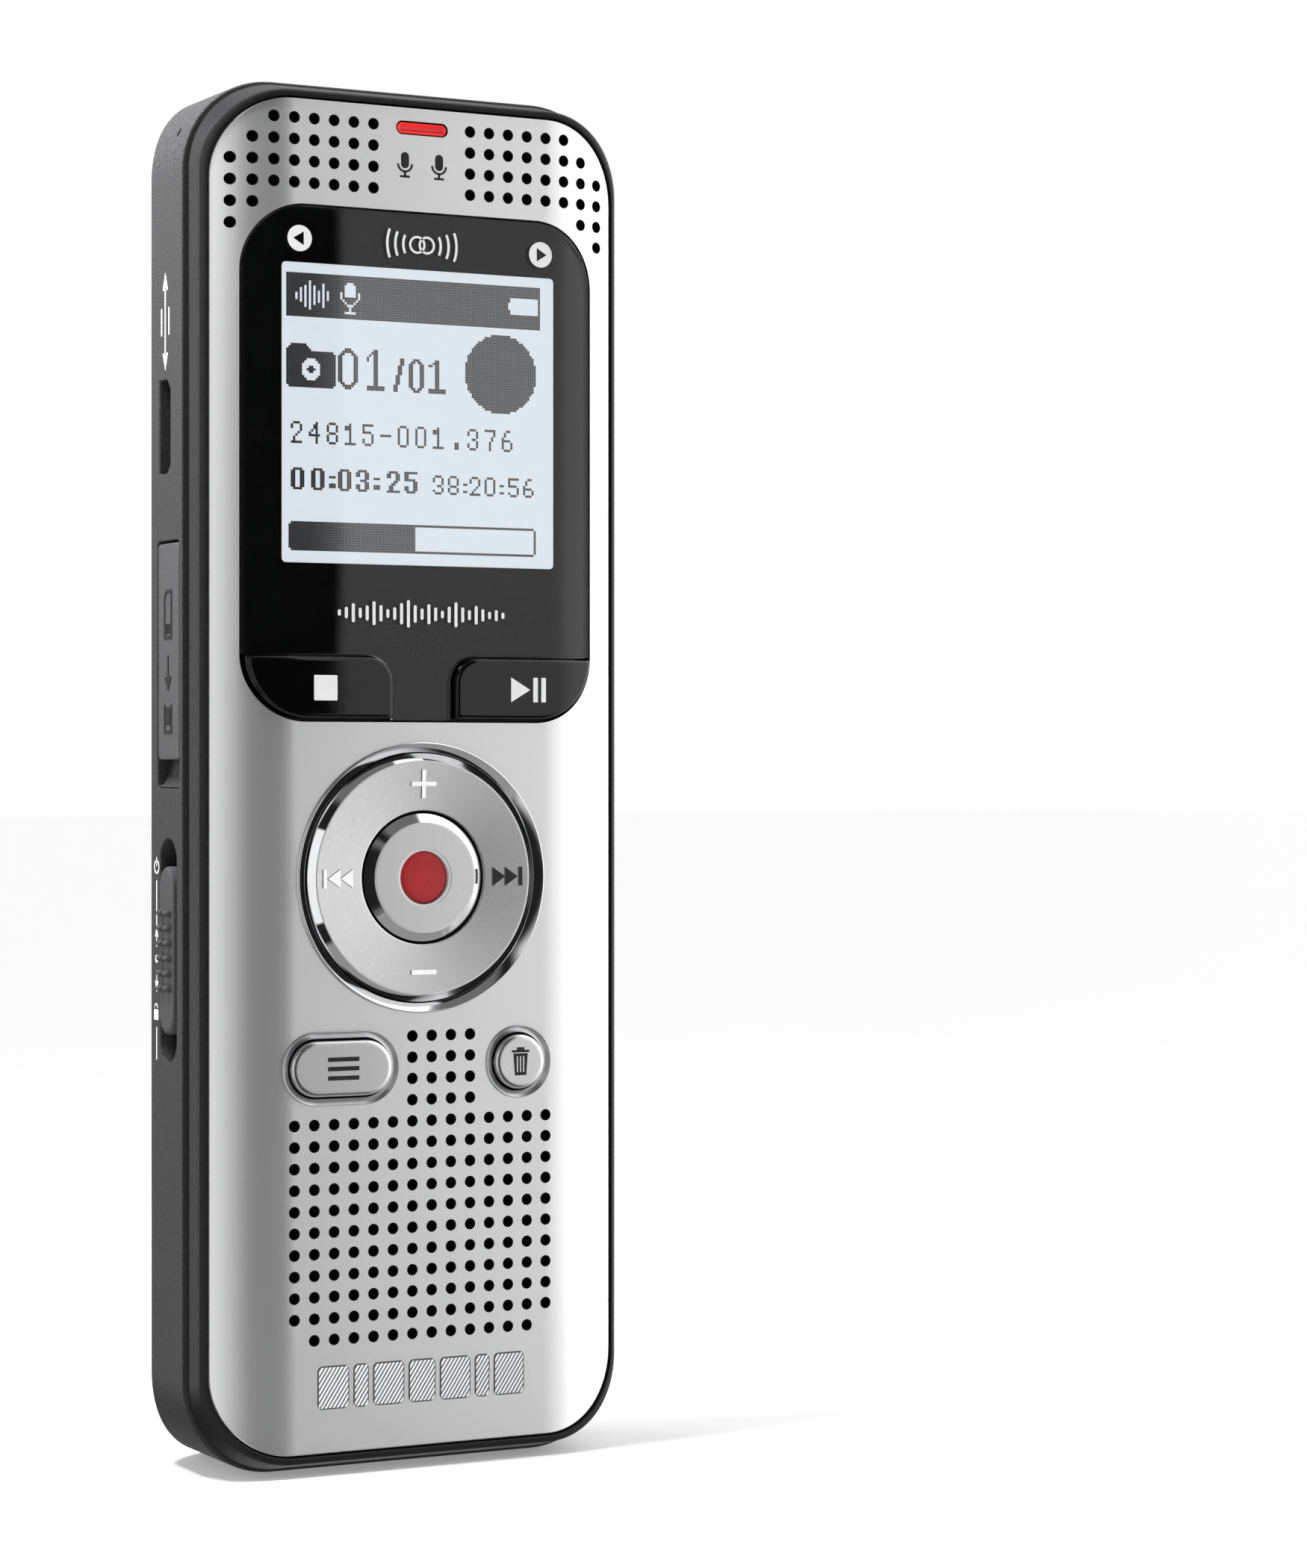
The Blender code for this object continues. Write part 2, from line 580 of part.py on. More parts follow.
def build_boards():
    board = [(-17.2, 57.6), (-17.2, 28.0), (-12.4, 28.0), (-12.4, 57.6), (17.2, 57.6), (17.2, 96.5),
             (2.1, 96.5), (2.1, 108.6), (-2.1, 108.6), (-2.1, 96.5), (-17.2, 96.5)]
    front_prism("main_board", board, BOARD_FRONT_W, BOARD_BACK_W, "board_green")
    box("processor_chip", (-1.0, 8.0), (7.9, 8.75), (80.0, 89.0), "chip_black")
    box("memory_chip", (2.0, 14.0), (7.7, 8.75), (63.0, 71.0), "chip_black")
    keys = front_prism("key_board", rounded(0, 47.65, 29.0, 37.9, 1.0, 3), 3.3, 3.9, "board_green")
    pad = front_prism("keypad_membrane", rounded(0, 47.6, 28.4, 37.2, 1.0, 3), 2.95, 3.15, "rubber")
    hole = rod("bay_screw_clearance", 1.2, (0, 0, BAY_SCREW_Z), (0, 4.2, BAY_SCREW_Z), steps=16)
    cut(keys, hole)
    cut(pad, hole)


def build_sound():
    gasket = [(7.6, -0.88), (SPEAKER_R, -0.88), (SPEAKER_R, -1.3), (7.6, -1.3)]
    turned("speaker_gasket", gasket, 0, SPEAKER_Z, "rubber")
    frame = [(8.3, -1.35), (SPEAKER_R, -1.35), (SPEAKER_R, -3.2), (4.3, -3.2), (4.3, -2.75), (8.3, -2.75)]
    turned("speaker_frame", frame, 0, SPEAKER_Z, "steel")
    cone = [(0, -1.5), (2.5, -1.8), (4.0, -2.3), (7.2, -1.6), (8.1, -1.6), (8.1, -1.8), (7.2, -1.8),
            (4.0, -2.5), (2.5, -2.0), (0, -1.7)]
    turned("speaker_cone", cone, 0, SPEAKER_Z, "paper_cone")
    turned("speaker_magnet", [(0, -2.7), (4.1, -2.7), (4.1, -4.1), (0, -4.1)], 0, SPEAKER_Z, "steel")
    for name, side in (("left", -1), ("right", 1)):
        boot = [(0, -4.3), (2.1, -4.3), (2.1, -2.1), (2.7, -2.1), (2.7, -4.6), (0, -4.6)]
        turned(f"microphone_boot_{name}", boot, side * MIC_X, MIC_Z, "rubber")
        capsule = [(0, -2.15), (2.0, -2.15), (2.0, -4.2), (0, -4.2)]
        turned(f"microphone_{name}", capsule, side * MIC_X, MIC_Z, "steel")


def spring(name, x, z_low, z_high, wide_below):
    """A conical coil spring standing between two heights."""
    curve = bpy.data.curves.new(name, "CURVE")
    curve.dimensions = "3D"
    curve.bevel_depth = 0.22 * MM
    curve.bevel_resolution = 1
    curve.resolution_u = 1
    curve.use_fill_caps = True
    steps = int(SPRING_TURNS * 14)
    line = curve.splines.new("POLY")
    line.points.add(steps)
    for i, point in enumerate(line.points):
        share = i / steps
        angle = 2 * math.pi * SPRING_TURNS * share
        spread = 1 - share if wide_below else share
        r = SPRING_SMALL_R + (SPRING_WIDE_R - SPRING_SMALL_R) * spread
        z = z_low + (z_high - z_low) * share
        point.co = (r * math.cos(angle) * MM, r * math.sin(angle) * MM, z * MM, 1)
    obj = link(name, curve, "steel")
    obj.location = Vector((x, FACE_Y + CELL_W, 0)) * MM


def build_power():
    tray = box("battery_tray", (-12.1, 12.1), (4.3, 22), (4.7, 56.8), "black_case")
    keep(tray, back_slab("tray_space", 1.5))
    cut(tray, box("tray_cavity", (-11.0, 11.0), (5.1, 22), (5.9, 55.6)))
    cut(tray, rod("tray_screw_hole", 1.05, (0, 3, BAY_SCREW_Z), (0, 6, BAY_SCREW_Z), steps=16))
    cells = (("battery_left", -CELL_X, 9.6, 1), ("battery_right", CELL_X, 51.1, -1))
    for name, x, z_flat, up in cells:
        z_end = z_flat + up * CELL_LONG
        cell = rod(name, CELL_R, (x, CELL_W, z_flat), (x, CELL_W, z_end), "cell_wrap")
        nub = rod(f"{name}_nub", 1.8, (x, CELL_W, z_end - up), (x, CELL_W, z_end + up * CELL_NUB), steps=20)
        join(cell, nub)
    plate_w = (6.6, 13.0)
    box("contact_bridge", (-9.5, 9.5), plate_w, (6.05, 6.35), "steel")
    box("contact_positive", (-9.5, -1.5), plate_w, (54.3, 54.6), "steel")
    box("contact_negative", (1.5, 9.5), plate_w, (54.3, 54.6), "steel")
    spring("spring_left", -CELL_X, 6.62, 9.3, True)
    spring("spring_right", CELL_X, 51.4, 54.02, False)


def build_screws():
    for name, x, z, head_w, tip_w in (
        ("screw_top_left", -TOP_SCREW_X, TOP_SCREW_Z, 12.8, 2.7),
        ("screw_top_right", TOP_SCREW_X, TOP_SCREW_Z, 12.8, 2.7),
        ("screw_bay", 0, BAY_SCREW_Z, 6.1, 2.2),
    ):
        head_r = 1.5 if z == TOP_SCREW_Z else 1.15
        head = rod(name, head_r, (x, head_w - 0.9, z), (x, head_w, z), "steel", steps=20)
        join(head, rod(f"{name}_shank", 0.8, (x, tip_w, z), (x, head_w - 0.5, z), steps=14))
        slot = box(f"{name}_slot", (x - 0.8, x + 0.8), (head_w - 0.35, head_w + 1), (z - 0.15, z + 0.15))
        cross = box(f"{name}_cross", (x - 0.15, x + 0.15), (head_w - 0.35, head_w + 1), (z - 0.8, z + 0.8))
        cut(head, slot, cross)


# Each joint's name, a point (x, w, z) on its axis, and the pieces that it moves
JOINTS = (
    ("stop_press", (-9.0, 0, 62.3), ["stop_button"]),
    ("play_press", (9.0, 0, 62.3), ["play_button"]),
    ("record_press", (0, 0, NAV_Z), ["record_button", "record_dot"]),
    ("menu_press", (MENU_X, 0, ROW_Z), ["menu_button"]),
    ("delete_press", (DELETE_X, 0, ROW_Z), ["delete_button"]),
    ("nav_tilt", (0, 2.4, NAV_Z), ["nav_cushion", "nav_ring"]),
    ("hold_slide", (-SHELL_HALF_X, HOLD_W, HOLD_Z), ["hold_slider", "switch_stem"]),
    ("card_door_hinge", (-SHELL_HALF_X + 0.12, HOLD_W, 73.7), ["card_door"]),
    ("battery_door_hinge", (0, BACK_W - 0.05, BAY_LOW_Z + 0.25), ["battery_door"]),
)


def hang_on_joints():
    """Puts each moving piece under an empty on its joint's axis."""
    for name, (x, w, z), pieces in JOINTS:
        empty = bpy.data.objects.new(name, None)
        empty.location = Vector((x, FACE_Y + w, z)) * MM
        PARTS.objects.link(empty)
        for piece in pieces:
            obj = bpy.data.objects[piece]
            obj.parent = empty
            obj.location -= empty.location


build_front_case()
build_front_plate()
build_display()
build_corner_keys()
build_navigation()
build_row_button("menu", MENU_X, MENU_LONG)
build_row_button("delete", DELETE_X, BEZEL_TALL)
build_light()
build_rear_shell()
build_battery_door()
build_left_side()
build_jacks()
build_boards()
build_sound()
build_power()
build_screws()
hang_on_joints()
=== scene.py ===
"""Handheld voice recorder: the visual model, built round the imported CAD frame.

Sizes are in millimetres in the front view, as in the CAD: x across, z up from the base, and w the
depth behind the flat middle of the front plate. MM turns them into Blender's metres. A lift is a
height above a surface, and a negative one is sunk into it.
"""

import json
import math

import bmesh
import bpy
import numpy as np
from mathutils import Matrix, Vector, geometry

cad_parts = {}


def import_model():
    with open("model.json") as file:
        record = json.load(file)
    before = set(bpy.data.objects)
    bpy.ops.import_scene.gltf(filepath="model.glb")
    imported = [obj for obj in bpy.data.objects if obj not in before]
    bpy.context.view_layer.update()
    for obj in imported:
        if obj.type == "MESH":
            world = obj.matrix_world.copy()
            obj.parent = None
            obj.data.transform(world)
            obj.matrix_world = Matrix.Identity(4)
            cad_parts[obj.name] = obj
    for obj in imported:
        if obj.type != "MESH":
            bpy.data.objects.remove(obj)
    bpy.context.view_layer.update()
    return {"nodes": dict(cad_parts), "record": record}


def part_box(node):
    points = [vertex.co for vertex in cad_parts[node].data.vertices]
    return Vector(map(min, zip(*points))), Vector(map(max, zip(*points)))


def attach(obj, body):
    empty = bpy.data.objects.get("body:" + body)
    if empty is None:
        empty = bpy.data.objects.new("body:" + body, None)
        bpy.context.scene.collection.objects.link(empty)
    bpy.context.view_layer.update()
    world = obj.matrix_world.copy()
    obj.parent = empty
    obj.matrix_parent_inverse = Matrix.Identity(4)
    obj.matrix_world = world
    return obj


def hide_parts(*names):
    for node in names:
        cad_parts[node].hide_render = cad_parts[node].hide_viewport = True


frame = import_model()

MM = 0.001
SIDES = ((-1, "left"), (1, "right"))


def box_mm(node):
    """A CAD node's lowest and highest corners, in mm, as (x, y, z)."""
    low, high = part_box(node)
    return [c / MM for c in low], [c / MM for c in high]


def middle(node):
    """The centre of a CAD node in the front view, in mm."""
    low, high = box_mm(node)
    return (low[0] + high[0]) / 2, (low[2] + high[2]) / 2


# Whole object
FACE_Y = box_mm("front_plate")[0][1]
TOP_Z = box_mm("rear_shell")[1][2]
MID_Z = TOP_Z / 2
WALL_X = box_mm("rear_shell")[1][0]
BACK_W = box_mm("rear_shell")[1][1] - FACE_Y

# Front and back surfaces
FLAT_HALF = 11.05
SIDE_ARC_R = 15.3
BACK_R = 28.86

# Case and shell
SHELL_R = 7.6
SHELL_FRONT_W = 3.55
SHELL_WALL = 1.3
CASE_REAR_W = 3.45
CASE_PROUD = 0.2
SCREW_X, SCREW_Z = 13.8, 104.5

# Front plate
PLATE_HALF_X = box_mm("front_plate")[1][0]
PLATE_HALF_Z = 53.53
PLATE_R = 6.5
PLATE_DEEP = -0.8
GAP = 0.12
PITCH = 1.70
HOLE_R = 0.44
SPEAKER_TOP_Z = 27.74
MIC_TOP_Z = 107.25

# Window and corner buttons
LENS_HALF_X = box_mm("display_lens")[1][0]
LENS_TOP_Z = box_mm("display_lens")[1][2]
LENS_LOW_Z = box_mm("display_lens")[0][2]
LENS_TOP_R = 5.24
LENS_LOW_R = 5.19
SPLIT_Z = 64.98
TONGUE_HALF_X = 2.57
KEY_GAP = 0.2
KEY_CORNER_R = 2.0
LENS_THICK = 0.5
PIXEL = 0.1925

# Buttons
NAV_X, NAV_Z = middle("nav_ring")
MENU_X, ROW_Z = middle("menu_bezel")
DELETE_X = middle("delete_bezel")[0]
LIGHT_Z = middle("record_light")[1]

NAV_INNER_R, NAV_OUTER_R = 5.35, 9.36
NAV_INNER_H, NAV_OUTER_H = 0.19, 0.35

# Left side and top end
HOLD_W = 6.5
HOLD_Z = middle("hold_slider")[1]
JACK_X = 5.5
JACK_W = 7.5


# ---------------------------------------------------------------- surfaces

def world(x, w, z):
    return Vector((x, FACE_Y + w, z)) * MM


def front_w(x, lift=0.0):
    """Depth of the front surface, raised by a lift."""
    beyond = max(0.0, abs(x) - FLAT_HALF)
    r = SIDE_ARC_R + lift
    return SIDE_ARC_R - math.sqrt(max(r * r - beyond * beyond, 0.0))


def on_front(x, z, lift):
    return world(x, front_w(x, lift), z)


def back_w(x, lift=0.0):
    r = BACK_R + lift
    return BACK_W - BACK_R + math.sqrt(r * r - x * x)


def on_back(x, z, lift):
    return world(x, back_w(x, lift), z)


def on_left(w, z, lift):
    return world(-WALL_X - lift, w, z)


def on_top(x, w, lift):
    return world(x, w, TOP_Z + lift)


def flat_front(x, z, lift):
    return world(x, -lift, z)


def front_normal(point):
    """The outward normal of the front surface at a point near it."""
    x = point.x / MM
    beyond = max(0.0, abs(x) - FLAT_HALF)
    side = math.copysign(beyond, x) / SIDE_ARC_R
    return Vector((side, -math.sqrt(max(0.0, 1 - side * side)), 0.0))


def back_normal(point):
    side = point.x / MM / BACK_R
    return Vector((side, math.sqrt(1 - side * side), 0.0))


NORMAL_OF = {on_front: front_normal, on_back: back_normal, on_left: lambda point: Vector((-1, 0, 0)),
             on_top: lambda point: Vector((0, 0, 1)), flat_front: lambda point: Vector((0, -1, 0))}


# ---------------------------------------------------------------- outlines

def arc(cx, cy, r, start, end, steps=10):
    angles = [math.radians(start + (end - start) * i / steps) for i in range(steps + 1)]
    return [(cx + r * math.cos(a), cy + r * math.sin(a)) for a in angles]


def arc_band(cx, cy, outer, inner, start, end, steps):
    """A bent bar between two radii."""
    return arc(cx, cy, outer, start, end, steps) + arc(cx, cy, inner, start, end, steps)[::-1]


def circle(cx, cy, r, steps=24):
    return arc(cx, cy, r, 0, 360 - 360 / steps, steps - 1)


def tidy(outline):
    merged = []
    for point in outline:
        if not merged or math.dist(point, merged[-1]) > 0.001:
            merged.append(point)
    if math.dist(merged[0], merged[-1]) < 0.001:
        merged.pop()
    return merged


def rounded(cx, cy, wide, tall, r, steps=10, straight=0):
    """A rectangle with round corners, anticlockwise; straight adds points along its sides."""
    dx = wide / 2 - r
    dy = tall / 2 - r
    corners = []
    for sx, sy, start in ((1, 1, 0), (-1, 1, 90), (-1, -1, 180), (1, -1, 270)):
        corners.append(arc(cx + sx * dx, cy + sy * dy, r, start, start + 90, steps))
    outline = []
    for i, corner in enumerate(corners):
        outline += corner
        a, b = corner[-1], corners[(i + 1) % 4][0]
        for k in range(1, straight):
            outline.append((a[0] + (b[0] - a[0]) * k / straight, a[1] + (b[1] - a[1]) * k / straight))
    return tidy(outline)


def bounded(x0, x1, z0, z1, r, steps):
    """A rectangle with round corners, given by its edges."""
    return rounded((x0 + x1) / 2, (z0 + z1) / 2, x1 - x0, z1 - z0, r, steps)


def pill(cx, cy, wide, tall, steps=16):
    return rounded(cx, cy, wide, tall, min(wide, tall) / 2 - 0.0005, steps)


def mirrored(points, side=-1):
    return [(side * x, z) for x, z in points]


def spaced(outline, longest):
    """The same outline with points added where two are far apart."""
    result = []
    for i, a in enumerate(outline):
        b = outline[(i + 1) % len(outline)]
        count = max(1, math.ceil(math.dist(a, b) / longest))
        result += [(a[0] + (b[0] - a[0]) * k / count, a[1] + (b[1] - a[1]) * k / count) for k in range(count)]
    return tidy(result)


def lens_field(grow):
    """The opening for the window and its two buttons, larger all round by grow."""
    half = LENS_HALF_X + grow
    low = arc(LENS_HALF_X - LENS_LOW_R, LENS_LOW_Z + LENS_LOW_R, LENS_LOW_R + grow, -90, 0, 20)
    top = arc(LENS_HALF_X - LENS_TOP_R, LENS_TOP_Z - LENS_TOP_R, LENS_TOP_R + grow, 0, 90, 20)
    right = low + [(half, low[-1][1] + (top[0][1] - low[-1][1]) * i / 30) for i in range(1, 30)] + top
    return spaced(right + mirrored(right[::-1]), 1.0)


def lens_outline():
    corner_x = TONGUE_HALF_X + KEY_GAP + KEY_CORNER_R
    corner_z = SPLIT_Z - KEY_GAP - KEY_CORNER_R
    right = [(TONGUE_HALF_X, LENS_LOW_Z)]
    right += arc(corner_x, corner_z, KEY_CORNER_R + KEY_GAP, 180, 90, 12)
    right += [(LENS_HALF_X, SPLIT_Z)]
    right += arc(LENS_HALF_X - LENS_TOP_R, LENS_TOP_Z - LENS_TOP_R, LENS_TOP_R, 0, 90, 20)
    return spaced(right + mirrored(right[::-1]), 0.8)


def key_outline(side):
    """One corner button: side is -1 for stop and 1 for play."""
    outer_r = LENS_LOW_R - 0.15
    low_z = LENS_LOW_Z + 0.15
    top_z = SPLIT_Z - KEY_GAP
    inner_x = TONGUE_HALF_X + KEY_GAP
    rise = math.degrees(math.asin((top_z - LENS_LOW_Z - LENS_LOW_R) / outer_r))
    outline = [(inner_x, low_z)]
    outline += arc(LENS_HALF_X - LENS_LOW_R, LENS_LOW_Z + LENS_LOW_R, outer_r, -90, rise, 20)
    outline += arc(inner_x + KEY_CORNER_R, top_z - KEY_CORNER_R, KEY_CORNER_R, 90, 180, 12)
    return spaced(mirrored(outline, side), 0.6)


def grid(x_range, z_range, x_step, z_step):
    xs = np.arange(x_range[0], x_range[1], x_step)
    zs = np.arange(z_range[0], z_range[1], z_step)
    return [(float(x), float(z)) for x in xs for z in zs]


def polygon_area(loop):
    pts = np.array(loop)
    after = np.roll(pts, -1, axis=0)
    return 0.5 * float(np.sum(pts[:, 0] * after[:, 1] - after[:, 0] * pts[:, 1]))


def turned_left(loop, wanted=True):
    """The loop run anticlockwise, or clockwise if that isn't wanted."""
    return list(loop) if (polygon_area(loop) > 0) == wanted else list(reversed(loop))


def moved_in(loop, inset):
    """The loop moved to its left by an inset, with mitred corners."""
    pts = np.array(loop)
    before = pts - np.roll(pts, 1, axis=0)
    after = np.roll(pts, -1, axis=0) - pts
    n1 = np.stack([-before[:, 1], before[:, 0]], 1) / np.linalg.norm(before, axis=1)[:, None]
    n2 = np.stack([-after[:, 1], after[:, 0]], 1) / np.linalg.norm(after, axis=1)[:, None]
    bisector = n1 + n2
    length = np.maximum(np.linalg.norm(bisector, axis=1), 0.3)
    bisector = bisector / length[:, None]
    cosine = np.maximum(np.sum(bisector * n1, axis=1), 0.5)
    return pts + bisector * (inset / cosine)[:, None]


def moved_loop(loop, inset):
    return [tuple(p) for p in moved_in(turned_left(loop), inset)]


def crossings(points, loops):
    """How many loop edges a ray to the right of each point crosses."""
    count = np.zeros(len(points), int)
    for loop in loops:
        a = np.array(loop)
        b = np.roll(a, -1, axis=0)
        y = points[:, 1][:, None]
        spans = (a[None, :, 1] > y) != (b[None, :, 1] > y)
        rise = np.where(b[:, 1] == a[:, 1], 1e-12, b[:, 1] - a[:, 1])
        x = a[None, :, 0] + (y - a[None, :, 1]) * ((b[:, 0] - a[:, 0]) / rise)[None, :]
        count += np.sum(spans & (points[:, 0][:, None] < x), axis=1)
    return count


# ---------------------------------------------------------------- mesh making

SLOT_OF = {}  # each material's slot in the CAD record, by the material's name


def linked(name, data):
    """A new object in the scene."""
    obj = bpy.data.objects.new(name, data)
    bpy.context.scene.collection.objects.link(obj)
    return obj


def reworked(mesh, work):
    """The mesh after one piece of work on it in bmesh."""
    bm = bmesh.new()
    bm.from_mesh(mesh)
    work(bm)
    bm.to_mesh(mesh)
    bm.free()
    return mesh


def drop_loose(bm):
    bmesh.ops.delete(bm, geom=[v for v in bm.verts if not v.link_faces], context="VERTS")


def add_piece(name, mesh, look, replaces=(), body="housing", sharp=35.0, facing=None):
    """Links a finished mesh, shades it, and puts it on its body.

    look is a material or a list of them. facing gives the normals of some faces, by face
    number, where the true surface is known.
    """
    def shade(bm):
        for face in bm.faces:
            face.smooth = True
        for edge in bm.edges:
            if len(edge.link_faces) == 2:
                edge.smooth = edge.calc_face_angle(0.0) < math.radians(sharp)

    obj = linked(name, mesh)
    looks = look if isinstance(look, list) else [look]
    for one in looks:
        mesh.materials.append(one)
    reworked(mesh, shade)
    if facing is None:
        modifier = obj.modifiers.new("normals", "WEIGHTED_NORMAL")
        modifier.keep_sharp = True
        modifier.weight = 90
    else:
        normals = [(0.0, 0.0, 0.0)] * len(mesh.loops)
        for number, normal_at in facing.items():
            for loop in mesh.polygons[number].loop_indices:
                normals[loop] = normal_at(mesh.vertices[mesh.loops[loop].vertex_index].co)
        mesh.normals_split_custom_set(normals)
    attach(obj, body)
    if replaces:
        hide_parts(*replaces)


def mesh_of(name, verts, faces, marks=None):
    """A mesh with its normals outward; marks gives each face's material number."""
    mesh = bpy.data.meshes.new(name)
    mesh.from_pydata(verts, [], faces)
    if marks is not None:
        mesh.polygons.foreach_set("material_index", marks)
    return reworked(mesh, lambda bm: bmesh.ops.recalc_face_normals(bm, faces=bm.faces))


def sheet_face(first, inner, spacing):
    """The flat triangles inside some loops: points, triangles, and each loop point's own point."""
    points = [p for ring in first for p in ring]
    constraints = []
    start = 0
    for ring in first:
        constraints += [(start + i, start + (i + 1) % len(ring)) for i in range(len(ring))]
        start += len(ring)
    extra = np.array(inner) if len(inner) else np.zeros((0, 2))
    if len(extra):
        extra = extra[crossings(extra, first) % 2 == 1]
        border = np.concatenate(first)
        nearest = np.array([np.min(np.sum((border - e) ** 2, axis=1)) for e in extra])
        extra = extra[nearest > (0.4 * spacing) ** 2]
    coords = [Vector((float(p[0]), float(p[1]))) for p in points + list(extra)]
    flat, _, triangles, origins = geometry.delaunay_2d_cdt(coords, constraints, [], 0, 1e-6, True)[:4]
    centres = np.array([[sum(flat[i][k] for i in t) / 3 for k in (0, 1)] for t in triangles])
    kept = [tuple(t) for t, c in zip(triangles, crossings(centres, first)) if c % 2 == 1]
    return flat, kept, {old: new for new, olds in enumerate(origins) for old in olds}


def panel_parts(edges, at, inner=(), spacing=1.0):
    """Vertices, faces and wall marks of a closed sheet.

    edges holds (loop, rings, wall material) for each outline; a ring is (inset, lift) or
    (inset, None, w) for an absolute depth. The first ring bounds the face that is seen.
    """
    loops = []
    for i, (loop, rings, wall) in enumerate(edges):
        others = [e[0] for j, e in enumerate(edges) if j != i]
        outer = crossings(np.array([loop[0]]), others)[0] % 2 == 0
        loops.append((turned_left(loop, outer), rings, wall))
    first = [moved_in(loop, rings[0][0]) for loop, rings, _ in loops]
    flat, kept, index_of = sheet_face(first, inner, spacing)
    total = len(flat)
    seen, hidden = loops[0][1][0], loops[0][1][-1]
    verts = [at(v[0], v[1], ring[1]) for ring in (seen, hidden) for v in flat]
    faces = kept + [tuple(total + i for i in reversed(t)) for t in kept]
    walls = [0] * len(faces)
    start = 0
    for loop, rings, wall in loops:
        count = len(loop)
        ids = [index_of[start + i] for i in range(count)]
        start += count
        for k, ring in enumerate(rings):
            spots = [world(u, ring[2], v) if len(ring) > 2 else at(u, v, ring[1])
                     for u, v in moved_in(loop, ring[0])]
            if k == 0:
                current = ids
            elif k == len(rings) - 1:
                current = [total + i for i in ids]
            else:
                current = list(range(len(verts), len(verts) + count))
                verts += spots
            for i, spot in zip(current, spots):
                verts[i] = spot
            if k:
                for i in range(count):
                    j = (i + 1) % count
                    faces.append((previous[i], previous[j], current[j], current[i]))
                    walls.append(wall)
            previous = current
    return verts, faces, walls


def sheet(loop, rings, at, inner=(), spacing=1.0):
    """A closed sheet with a single outline, as (verts, faces)."""
    return panel_parts([(loop, rings, 0)], at, inner, spacing)[:2]


def panel(name, edges, at, look, replaces=(), inner=(), spacing=1.0, body="housing", sharp=35.0):
    """A piece made of one sheet, whose seen side takes its normals from the true surface."""
    verts, faces, walls = panel_parts(edges, at, inner, spacing)
    mesh = reworked(mesh_of(name, verts, faces, walls), drop_loose)
    triangles = next((i for i, face in enumerate(faces) if len(face) != 3), len(faces))
    facing = {number: NORMAL_OF[at] for number in range(triangles // 2)}
    add_piece(name, mesh, look, replaces, body, sharp, facing)


def many(name, parts, look, replaces=(), body="housing", sharp=35.0):
    """One piece from several closed shells, each given as (verts, faces)."""
    verts, faces = [], []
    for shell in parts:
        offset = len(verts)
        verts += list(shell[0])
        faces += [tuple(offset + i for i in f) for f in shell[1]]
    add_piece(name, mesh_of(name, verts, faces), look, replaces, body, sharp)


def decal(name, groups, at, lift, look, body="housing", thick=0.03):
    """Thin prints or inlays as one piece; in each group, a loop inside another is a hole in it."""
    rings = [(0.0, lift), (0.0, lift - thick)]
    parts = [panel_parts([(loop, rings, 0) for loop in loops], at)[:2] for loops in groups]
    many(name, parts, look, (), body)


def stack(sections, capped=True, closed=False):
    """A skin over loops of as many points each."""
    verts = [p for section in sections for p in section]
    n = len(sections[0])
    faces = []
    rows = len(sections) if closed else len(sections) - 1
    for k in range(rows):
        a = k * n
        b = ((k + 1) % len(sections)) * n
        faces += [(a + i, a + (i + 1) % n, b + (i + 1) % n, b + i) for i in range(n)]
    if capped and not closed:
        faces.append(tuple(range(n)))
        faces.append(tuple(reversed(range(len(verts) - n, len(verts)))))
    return verts, faces


def lathe(profile, place, segments=96, closed=True):
    """(radius, height) points turned about an axis; place(u, v, h) gives the world point."""
    verts, faces, rows = [], [], []
    for r, h in profile:
        if r < 1e-6:
            rows.append([len(verts)])
            verts.append(place(0.0, 0.0, h))
            continue
        rows.append(list(range(len(verts), len(verts) + segments)))
        for i in range(segments):
            a = 2 * math.pi * i / segments
            verts.append(place(r * math.cos(a), r * math.sin(a), h))
    pairs = list(zip(rows, rows[1:]))
    if closed and not (len(rows[0]) == 1 and len(rows[-1]) == 1):
        pairs.append((rows[-1], rows[0]))
    for a, b in pairs:
        if len(a) == 1 and len(b) == 1:
            continue
        for i in range(segments):
            j = (i + 1) % segments
            if len(a) == 1:
                faces.append((a[0], b[j], b[i]))
            elif len(b) == 1:
                faces.append((a[i], a[j], b[0]))
            else:
                faces.append((a[i], a[j], b[j], b[i]))
    return verts, faces


def filleted(profile, radii, steps=4, closed=True):
    """The profile with each corner rounded by its radius."""
    result = []
    count = len(profile)
    for i, point in enumerate(profile):
        r = radii[i] if isinstance(radii, (list, tuple)) else radii
        ends = not closed and i in (0, count - 1)
        if r <= 0 or ends:
            result.append(point)
            continue
        p = Vector(point)
        a = Vector(profile[i - 1]) - p
        b = Vector(profile[(i + 1) % count]) - p
        reach = min(r, a.length * 0.45, b.length * 0.45)
        start = p + a.normalized() * reach
        end = p + b.normalized() * reach
        for k in range(steps + 1):
            t = k / steps
            q = start * (1 - t) ** 2 + p * 2 * t * (1 - t) + end * t ** 2
            result.append((q.x, q.y))
    return result


def about_front(cx, cz):
    """Places lathe points on the depth axis through (cx, cz), heights in front of the face."""
    return lambda u, v, h: world(cx + u, -h, cz + v)


def pill_stack(cx, cz, long, tall, profile, closed=False):
    """A pill-shaped body: profile is (inset, height in front of the face)."""
    sections = []
    for inset, h in profile:
        loop = pill(cx, cz, long - 2 * inset, tall - 2 * inset)
        sections.append([world(x, -h, z) for x, z in loop])
    return stack(sections, capped=not closed, closed=closed)


